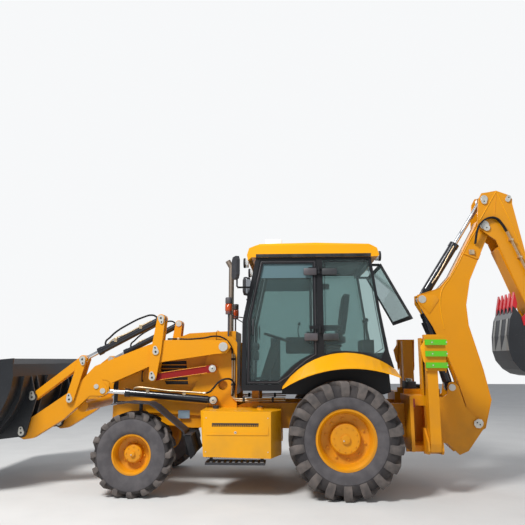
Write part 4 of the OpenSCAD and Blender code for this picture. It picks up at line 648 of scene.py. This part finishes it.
# ---- loader
def dress_loader():
    """Screws in the pin covers, oil tubes with clamps, hose loops, edges of the level link, doubler of the knee."""
    for side, s in SIDES:
        for body, slot_name, places in (
            ("levers", "yellow_paint", [("lever", 80), ("lever_foot", 80)]),
            ("lever_pins", "pin_steel", [("lever_top", 260)]),
            ("front_lever_pins", "pin_steel", [("front", 80)]),
            ("front_link_pins", "pin_steel", [("front_top", 260)]),
            ("bucket_pins", "pin_steel", [("bucket", 80)]),
            ("loader_bucket", "bucket_steel", [("bucket_top", 80)]),
        ):
            screws = []
            for pin, turn in places:
                px, pz = PINS[pin]
                c, d = ray(turn)
                for along in (0, 50):
                    screws.append(screw((px + along * c, s * (LOADER_COVER + 2), pz + along * d), 10 if along
                                        else 13))
            gather(f"{body}_screws_{side}", screws, body)
        # domed heads of the frame's pins
        heads = []
        for pin, radius, y in (("arm", 40, 609), ("level", 30, 602), ("lift", 30, 602)):
            px, pz = PINS[pin]
            heads.append(round_bar("head", zinc, (px, s * y, pz), radius, 8, bevel=3, corners=32))
            heads.append(screw((px, s * (y + 5), pz)))
        gather(f"frame_pin_heads_{side}", heads, "chassis")
        # lift cylinder: steel tube over the barrel in two clamps, hose loop to the frame's tube
        y = s * 600
        line = [(2620, y - s * 20, 1196), *level_run(y, (2599, 1222), (2163, 1187), (1973, 1177), (1720, 1160))]
        tube = [oil_tube(line, 11)]
        for x, z in ((2440, 1209), (1973, 1177)):
            tube.append(block("clamp", tube_steel, (x - 22, y, z - 46), (x + 22, y - s * 34, z + 13), 4))
        tube.append(round_bar("elbow", tube_steel, (1712, y, 1159), 17, 44, "X", 3, 6))
        gather(f"lift_tube_{side}", tube, "lift_barrels")
        loop = [(1700, y, 1158), (1640, y, 1180), (1606, y, 1215), (1534, y, 1296), (1450, s * 585, 1333),
                (1377, s * 540, 1317), (1349, s * 505, 1246), (1361, s * 490, 1165), (1380, s * 480, 1120)]
        hose = pipe(f"lift_hose_{side}", hose_rubber, loop, 12)
        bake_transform(hose)
        # frame tubes beside the cab's front and along under its sill
        y = s * 474
        run = [oil_tube(level_run(y, (1381, 1660), (1379, 1500), (1379, 1240), (1381, 1130), (1366, 1096),
                                  (1330, 1084), (1200, 1083), (700, 1092)), 11)]
        run.append(oil_tube(level_run(y, (1352, 1640), (1350, 1500), (1350, 1240), (1352, 1130), (1340, 1070),
                                      (1300, 1058), (1200, 1057), (700, 1064)), 9))
        for x, z in ((1366, 1580), (1365, 1260)):
            run.append(block("clamp", seal_rubber, (x - 30, s * 457.5, z - 14), (x + 28, y + s * 14, z + 14), 3))
        for x in (1230, 860):
            run.append(block("clamp", seal_rubber, (x - 14, s * 420.5, 1046), (x + 14, y + s * 14, 1104), 3))
        gather(f"frame_tubes_{side}", run, "chassis")
        # hose from the arm's top over its pivot to those tubes
        y = s * 500
        loop = [(1960, y, 1833), (1857, y, 1840), (1728, y, 1853), (1620, y, 1872), (1512, y, 1856), (1425, y, 1790),
                (1385, s * 486, 1700), (1381, s * 476, 1650)]
        hose = pipe(f"arm_hose_{side}", hose_rubber, loop, 11)
        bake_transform(hose)
        pair = [pipe("line", hose_rubber, [(2220, s * 520, 1836), (2100, s * 510, 1838), (1960, y, 1833)], 11),
                block("clamp", tube_steel, (2060, s * 490, 1818), (2092, s * 545, 1850), 3)]
        gather(f"arm_line_{side}", pair, "arms")
        # tilt cylinder: tube below a hose that arches from its front end back to its foot
        line = [(2975, s * 575, 1742), (2960, s * 585, 1790), (2718, s * 590, 1916), (2420, s * 590, 2072)]
        top = [oil_tube(line, 9),
               oil_hose(level_run(s * 560, (3000, 1700), (3021, 1800), (2968, 1856), (2895, 1925), (2725, 2030),
                                  (2553, 2112), (2412, 2142), (2360, 2115)), 12)]
        for x, z in ((2880, 1842), (2560, 2010)):
            top.append(block("clamp", tube_steel, (x - 20, s * 556, z - 44), (x + 20, s * 602, z + 12), 4))
        gather(f"tilt_lines_{side}", top, "tilt_barrels")
        # bright rolled edges on the red link
        (ax, az), (bx, bz) = PINS["level"], PINS["lever_foot"]
        length = math.hypot(bx - ax, bz - az)
        nx, nz = -(bz - az) / length, (bx - ax) / length
        edges = []
        for off in (43, -43):
            ends = [(ax + (bx - ax) * t + nx * off, s * 579, az + (bz - az) * t + nz * off) for t in (0.1, 0.9)]
            edges.append(pipe("edge", yellow, ends, 3.5, smooth=False))
        gather(f"level_link_edges_{side}", edges, "level_links")
        # doubler plate of the arm's knee, its rim in the lighter yellow as a painted highlight
        knee = [(3277, 1242), (3144, 1345), (3018, 1407), (2939, 1325), (2932, 1182), (3003, 1120), (3235, 1079)]
        bracket = [plate("doubler", yellow, knee, s * 594.6, s * 603.5, 2),
                   pipe("rim", lit_yellow, [(px, s * 603, pz) for px, pz in knee[:4]], 3.5, 2, False)]
        gather(f"knee_doubler_{side}", bracket, "arms")


# ---- frame, boxes and bonnet
def dress_frame():
    """Blank plate, lip, latch and louvre of the box, serrated step, bonnet fittings, mud flaps and valves."""
    for side, s in SIDES:
        bits = [block("plate", blue_plate, (1921, s * 457.5, 836), (2069, s * 460.5, 937), 1)]
        for x in (1931, 2059):
            for z in (846, 927):
                bits.append(round_bar("rivet", zinc, (x, s * 461.5, z), 4, 3, corners=10, bevel=0.6))
        gather(f"blank_plate_{side}", bits, "chassis")
        # The lip takes the lighter yellow: painted light on its lit fold.
        lid = [block("lip", lit_yellow, (905, s * 1000.3, 706), (1618, s * 1007, 722), 2.5),
               block("lip_end", lit_yellow, (893, s * 1000.3, 706), (905, s * 1006, 800), 2),
               round_bar("latch", zinc, (1280, s * 1006, 737), 15, 8, bevel=2),
               round_bar("lock", seal_rubber, (1280, s * 1009, 737), 5, 4, bevel=0.5)]
        for x in (900, 1625):
            for z in (900, 520):
                lid.append(round_bar("screw", zinc, (x, s * 1002, z), 7, 5, corners=6, bevel=0.7))
        gather(f"box_fittings_{side}", lid, "chassis")
        teeth = [block("tooth", guard_plastic, (944 + i * 23, s * 976, 452), (955 + i * 23, s * 989.5, 464), 1)
                 for i in range(30)]
        gather(f"step_teeth_{side}", teeth)
        slot = [block("louvre", grille_plastic, (1008, s * 999, 806), (1556, s * 1001, 842), 0.5)]
        # Teeth in the lighter yellow: painted light on the slats.
        slot += [block("tooth", lit_yellow, (1014 + i * 21, s * 1000, 804), (1019 + i * 21, s * 1002.5, 824), 0.5)
                 for i in range(26)]
        gather(f"box_louvre_{side}", slot, "chassis")
        # bonnet: grab handle, and a mesh with a dark sheet behind the vent, as painted shade of the space under the
        # bonnet
        bow = [(2560, s * y, z) for y, z in ((401, 1300), (430, 1300), (436, 1320), (436, 1400), (430, 1420),
                                             (401, 1420))]
        grab = [pipe("grab", post_black, bow, 8)]
        for i in range(14):
            ends = [(1985 + i * 24, s * 391, 1258), (2010 + i * 22, s * 391, 1548)]
            grab.append(pipe("wire", grille_plastic, ends, 2, 1, False))
        for i in range(8):
            ends = [(1968 + i * 4, s * 392, 1280 + i * 34), (2262 + i * 12, s * 392, 1280 + i * 34)]
            grab.append(pipe("wire", grille_plastic, ends, 2, 1, False))
        vent_shade_sheet = [(1948, 1244), (2262, 1244), (2386, 1558), (1978, 1573)]
        grab.append(plate("vent_shade_sheet", grille_plastic, vent_shade_sheet, s * 384, s * 388.2, 1))
        gather(f"bonnet_fittings_{side}", grab, "bonnet")
        # mud flap behind the front wheel: side, fold and apron
        leaf = [(1912, 722), (1880, 738), (1772, 736), (1700, 545), (1835, 412), (1905, 450)]
        flap = plate("flap", hose_rubber, leaf, s * 742, s * 748, 1)
        fold = block("fold", guard_plastic, (1790, s * 738, 700), (1892, s * 1044, 716), 3)
        back = plate("apron", hose_rubber, [(1880, 712), (1800, 714), (1740, 520), (1793, 440)], s * 738, s * 1044, 2)
        gather(f"mud_flap_{side}", [flap, fold, back])
    # valve bank behind the cab, its spools and its hoses
    bank = [block("valve", cabin_plastic, (-1010, -180, 1160), (-900, 180, 1290), 6)]
    for i in range(6):
        y = -150 + i * 60
        bank.append(round_bar("spool", zinc, (-955, y, 1305), 14, 40, "Z", 2, 6))
        bank.append(oil_hose([(-1005, y, 1230), (-1060, y, 1235), (-1100, y * 0.8, 1190), (-1110, y * 0.6, 1150)],
                             13))
    gather("rear_valves_and_hoses", bank)


# ---- cab
def dress_cab():
    """Door strips, hinge covers, grips, mirror glass, lamps, gutter strips, roof box, wiper and cabin fittings."""
    door = [(788, 1296), (1158, 1296), (1150, 2055), (992, 2806), (316, 2806), (316, 1640), (440, 1565), (560, 1470),
            (660, 1374)]
    quarter = [(190, 2806), (-352, 2806), (-440, 2184), (-512, 1710), (-400, 1640), (-200, 1668), (0, 1676),
               (190, 1640)]
    for side, s in SIDES:
        strip = [pipe("strip", trim_plastic, [(x, s * 709.5, z) for x, z in door + door[:1]], 3.5, 2, False)]
        for z in (2672, 1850):
            strip.append(block("hinge_cover", trim_plastic, (288, s * 712, z - 46), (455, s * 744, z + 46), 14))
        strip.append(block("grip", cabin_plastic, (1086, s * 709, 1880), (1110, s * 727, 2080), 6))
        gather(f"door_trim_{side}", strip, f"door_{side}")
        rest = [pipe("strip", seal_rubber, [(x, s * 706, z) for x, z in quarter + quarter[:1]], 4, 2, False)]
        for z in (2672, 1850):
            rest.append(block("hinge_cover", cabin_plastic, (30, s * 705.5, z - 44), (222, s * 736, z + 44), 13))
        gather(f"cab_side_trim_{side}", rest)
        glass = block("glass", chrome, (1283.7, s * 860.3 - 76, 2590), (1286.7, s * 860.3 + 76, 2820), 1, s * 25)
        gather(f"mirror_glass_{side}", [glass], "chassis")
        for p, (x, z, ahead) in enumerate(((1239, 2845, 1), (-566, 2925, -1))):
            ring = round_bar("rim", seal_rubber, (x - ahead * 8, s * 420, z), 66, 30, "X", 5, 36)
            gather(f"lamp_rim_{side}_{p}", [ring])
        bend = [(1437, s * 442, 2176), (1390, s * 470, 2150), (1330, s * 560, 2120), (1232, s * 640, 2100)]
        gather(f"lamp_bracket_{side}", [pipe("bracket", post_black, bend, 7)])
        lamp = [round_bar("lens", amber, (1437, s * 442, 2250), 48, 92, "Z", 6, 32),
                round_bar("cap", trim_plastic, (1437, s * 442, 2340), 46, 86, "Z", 12, 32)]
        gather(f"direction_lamp_{side}", lamp, "chassis")
        gutter = block("gutter", seal_rubber, (-400, s * 730, 2862), (1062, s * 731.5, 2905), 0.4)
        gather(f"roof_gutter_{side}", [gutter])
    roof = [block("blank_box", white_plastic, (735, 200, 3046), (960, 330, 3190), 8)]
    gather("roof_blank_box", roof, "chassis")
    wiper = [pipe("arm", seal_rubber, [(1236, 60, 1476), (1232, 120, 1700), (1222, 220, 2020)], 6),
             pipe("blade", seal_rubber, [(1238, -60, 1620), (1231, 160, 1860), (1219, 330, 2040)], 7)]
    gather("windscreen_wiper", wiper)
    cabin = [block("dash", cabin_plastic, (1085, -420, 1560), (1176, 420, 1700), 18),
             block("side_console", cabin_plastic, (150, -610, 1660), (700, -470, 1900), 20),
             block("pedal", post_black, (1090, 120, 1262), (1150, 190, 1400), 6),
             block("pedal", post_black, (1090, 240, 1262), (1150, 310, 1400), 6),
             block("headliner", trim_plastic, (-330, -600, 2838), (980, 600, 2862), 8),
             block("instruments", trim_plastic, (1060, -120, 1705), (1150, 120, 1800), 22)]
    for y in (-580, -540, -500):
        cabin.append(pipe("lever", post_black, level_run(y, (500, 1895), (520, 1990), (500, 2080)), 7))
        clear()
        bpy.ops.mesh.primitive_uv_sphere_add(segments=20, ring_count=12, radius=0.021, location=here(499, y, 2095))
        cabin.append(settle(bpy.context.object, "knob", seal_rubber))
    gather("cabin_fittings", cabin)


def cushion(name, low, high, lean, swell):
    """A foam pad under cloth: a block cut fine, crowned, its corners pulled in, with two sewn channels."""
    clear()
    size = [(b - a) / 1000 for a, b in zip(low, high)]
    bpy.ops.mesh.primitive_cube_add(size=1, location=here(*[(a + b) / 2 for a, b in zip(low, high)]))
    pad = bpy.context.object
    pad.scale = size
    bpy.ops.object.transform_apply(location=False, rotation=False, scale=True)
    edit((bpy.ops.mesh.subdivide, {"number_cuts": 15}))
    thin = min(range(3), key=lambda i: size[i])
    wide = [i for i in range(3) if i != thin]
    half = [d / 2 for d in size]
    for vertex in pad.data.vertices:
        co = vertex.co
        u, v = co[wide[0]] / half[wide[0]], co[wide[1]] / half[wide[1]]
        crown = (1 - u ** 4) * (1 - v ** 4)
        groove = math.exp(-((abs(v) - 0.52) / 0.045) ** 2)
        side = 1 if co[thin] > 0 else -1
        full = abs(co[thin]) / half[thin]
        co[thin] = side * full * (half[thin] * (0.70 + 0.30 * crown) - 0.010 * groove * crown)
        edge = 1 - 0.05 * (1 - full) * swell
        co[wide[0]] *= 1 - 0.035 * v ** 4 * edge
        co[wide[1]] *= 1 - 0.035 * u ** 4 * edge
    soft = pad.modifiers.new("round", "SUBSURF")
    soft.levels = soft.render_levels = 1
    bpy.ops.object.modifier_apply(modifier=soft.name)
    if lean:
        pad.rotation_euler = (0, lean, 0)
    pad = settle(pad, name, cloth)
    return pad


def dress_seat():
    """Cushion, back and arm pads of cloth over foam, on a moulded pan with a suspension boot."""
    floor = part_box("seat")[0].z * 1000
    base = cushion("seat_cushion", (-108, -248, floor + 132), (368, 248, floor + 248), 0, 1)
    back = cushion("seat_back", (-152, -238, floor + 262), (-48, 238, floor + 806), -math.radians(8), 1)
    arms = [cushion(f"arm_pad_{side}", (-58, s * 290 - 27, floor + 331), (268, s * 290 + 27, floor + 379), 0, 0)
            for side, s in SIDES]
    pan = [block("pan", cabin_plastic, (-58, -158, floor + 96), (278, 158, floor + 128), 10)]
    for i in range(4):
        pan.append(block("boot", seal_rubber, (-54 + i * 5, -154 + i * 5, floor + 1 + i * 24),
                         (274 - i * 5, 154 - i * 5, floor + 22 + i * 24), 8))
    for s in (1, -1):
        pan.append(block("arm_post", cabin_plastic, (-58, s * 251, floor + 202), (-2, s * 263, floor + 328), 3))
    gather("seat_pan", pan)
    for pad in (base, back, *arms):
        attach(pad, "chassis")
    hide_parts("seat")


# ---- backhoe
# The boom's outline in the source, x and z in millimetres
BOOM_EDGE = [(-1700, 675), (-1665, 760), (-1660, 990), (-1560, 1350), (-1481, 1569), (-1290, 2010), (-1105, 2330),
             (-1105, 2440), (-1190, 2462), (-1400, 2530), (-1560, 2700), (-1950, 3400), (-1975, 3470), (-2046, 3495),
             (-2140, 3440), (-2140, 3350), (-1814, 2638), (-1745, 2300), (-1760, 2030), (-1914, 1439), (-1989, 1055),
             (-1890, 700), (-1783, 640)]


def dress_backhoe():
    """Edges, doubler, recess and bead of the boom, pin covers, creases, tubes, hoses and the stabiliser's gusset."""
    for side, s in SIDES:
        y = s * BOOM_FACE
        bits = [pipe("edge", yellow, [(x, y, z) for x, z in BOOM_EDGE + BOOM_EDGE[:1]], 4.5, 2, False)]
        for name, thick, bevel, outline in (
            ("doubler", 7, 1.5, [(-1110, 2352), (-1120, 2424), (-1180, 2446), (-1330, 2440), (-1392, 2380),
                                 (-1250, 2180)]),
            ("recess_bar", 16, 3, [(-1762, 3000), (-1936, 2926), (-1944, 2950), (-1774, 3022)]),
            ("recess_bar", 12, 3, [(-1936, 2926), (-1975, 3012), (-1990, 3005), (-1952, 2920)]),
        ):
            bits.append(plate(name, yellow, outline, y - s * 0.5, y + s * thick, bevel))
        bits.append(block("coupling", tube_steel, (-1900, y, 2990), (-1826, y + s * 30, 3060), 6))
        # The bead takes the lighter yellow: a painted highlight along it.
        rim = level_run(y, (-1975, 3380), (-1840, 3168), (-1768, 3037), (-1653, 2832), (-1548, 2666), (-1440, 2514),
                        (-1402, 2312), (-1412, 2150), (-1440, 1980))
        bits.append(pipe("bead", lit_yellow, rim, 7, 3))
        gather(f"boom_edges_{side}", bits, "boom")
        covers = []
        for pin, long, turn in (("dipper", 46, 60), ("dipper_rod", 40, 95), ("bucket_cylinder", 34, -60)):
            px, pz = PINS[pin]
            c, d = ray(turn)
            ring = []
            for i in range(16):
                a = i * math.pi / 8
                back = long if math.cos(a - math.radians(turn)) < 0 else 0
                ring.append((px + long * math.cos(a) - back * c, pz + long * math.sin(a) - back * d))
            covers.append(plate("cover", zinc, ring, s * DIPPER_PIN_FACE, s * (DIPPER_PIN_FACE + 8), 2))
            covers.append(screw((px - long * c, s * (DIPPER_PIN_FACE + 10), pz - long * d)))
        # crease lines and rolled edges of the dipper; those in the lighter yellow are painted highlights along them
        for name, paint, out, radius, corners, places in (
            ("crease", lit_yellow, DIPPER_FACE, 7, 3, ((-2240, 3874), (-1990, 3464))),
            ("crease", yellow, DIPPER_FACE, 5, 2, ((-2240, 3874), (-2190, 3500))),
            ("edge", yellow, DIPPER_FACE + 0.5, 4, 2, ((-2190, 3176), (-2504, 2318), (-2660, 1875))),
            ("edge", lit_yellow, DIPPER_FACE, 6, 3, ((-2244, 3874), (-2394, 3459), (-2520, 3040), (-2800, 2240))),
        ):
            covers.append(pipe(name, paint, level_run(s * out, *places), radius, corners, False))
        gather(f"dipper_fittings_{side}", covers, "dipper")
        cover = [(-1846, 776), (-1826, 812), (-1778, 822), (-1728, 792), (-1722, 748), (-1750, 708), (-1800, 704),
                 (-1838, 736)]
        foot = [plate("cover", zinc, cover, s * 162.5, s * 171, 3),
                screw((-1800, s * 173, 750)), screw((-1765, s * 173, 775))]
        gather(f"post_covers_{side}", foot, "swing_post")
        # tubes clamped along the dipper, and the hoses that arch over its pivot
        tubes, hoses = [], []
        for i in range(3 if s > 0 else 1):
            y = s * (172 + i * 20)
            line = level_run(y, (-2324 - i * 3, 3289), (-2420, 3060), (-2534, 2778), (-2600, 2604))
            tubes.append(oil_tube(line, 8))
            line = [(-1915, y - s * 60, 3140), (-1917, y - s * 30, 3200),
                    *level_run(y, (-1930, 3300), (-1991, 3418), (-2101, 3485), (-2201, 3475), (-2270, 3396),
                               (-2322, 3295))]
            hoses.append(oil_hose(line, 10))
        for x, z in ((-2372, 3175), (-2470, 2935), (-2556, 2722)):
            tubes.append(block("clamp", tube_steel, (x - 24, s * DIPPER_FACE, z - 14), (x + 24, s * 224, z + 14), 4))
        gather(f"dipper_tubes_{side}", tubes, "dipper")
        clear()
        for hose in hoses:
            hose.select_set(True)
        arch = hoses[0]
        bpy.context.view_layer.objects.active = arch
        if len(hoses) > 1:
            bpy.ops.object.join()
        arch.name = f"pivot_hoses_{side}"
        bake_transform(arch)
        # The stabiliser's gusset takes the lighter yellow: painted light on its lit face.
        web = [(-1022, 1868), (-926, 1717), (-955, 1560), (-1012, 1450), (-1022, 1440)]
        gusset = [plate("gusset", lit_yellow, web, s * 852, s * 872, 2)]
        for i in range(3):
            for x in (-1230, -1060):
                gusset.append(round_bar("bolt", zinc, (x, s * 904.5, 1507 + i * 135), 9, 3, corners=6, bevel=0.6))
        gather(f"stabiliser_fittings_{side}", gusset, f"stabiliser_{side}")
    # lines beside the two cylinders of the boom
    lines = [oil_tube([(-1310, 74, 2600), (-1400, 74, 2720), (-1560, 74, 2990), (-1640, 74, 3120)], 8),
             oil_hose([(-1200, 70, 2420), (-1235, 78, 2500), (-1310, 74, 2604)], 11)]
    gather("dipper_cylinder_line", lines, "dipper_barrel")
    bend = ((-1452, 1330), (-1372, 1440), (-1330, 1600), (-1262, 1850), (-1180, 2070))
    lines = [oil_hose(level_run(y, *bend), 12) for y in (-48, -16, 16, 48)]
    gather("boom_cylinder_hoses", lines, "boom_barrel")


# ---- the whole scene
set_camera()
set_light()
dress_nodes()
dress_wheels()
dress_loader()
dress_frame()
dress_cab()
dress_seat()
dress_backhoe()

clear()
bpy.ops.mesh.primitive_plane_add(size=FLOOR_M, location=(0, 0, 0))
ground = bpy.context.object
ground.name = "pale_floor"
material, tree, shader, place = start("pale_concrete_floor", Roughness=0.85, Specular_IOR_Level=0.2)
tint(tree, shader, blotches(tree, place, 1.5, 4, 0.3, 0.7), ink("#D9D8D5"), ink("#D2D1CE"))
ground.data.materials.append(material)
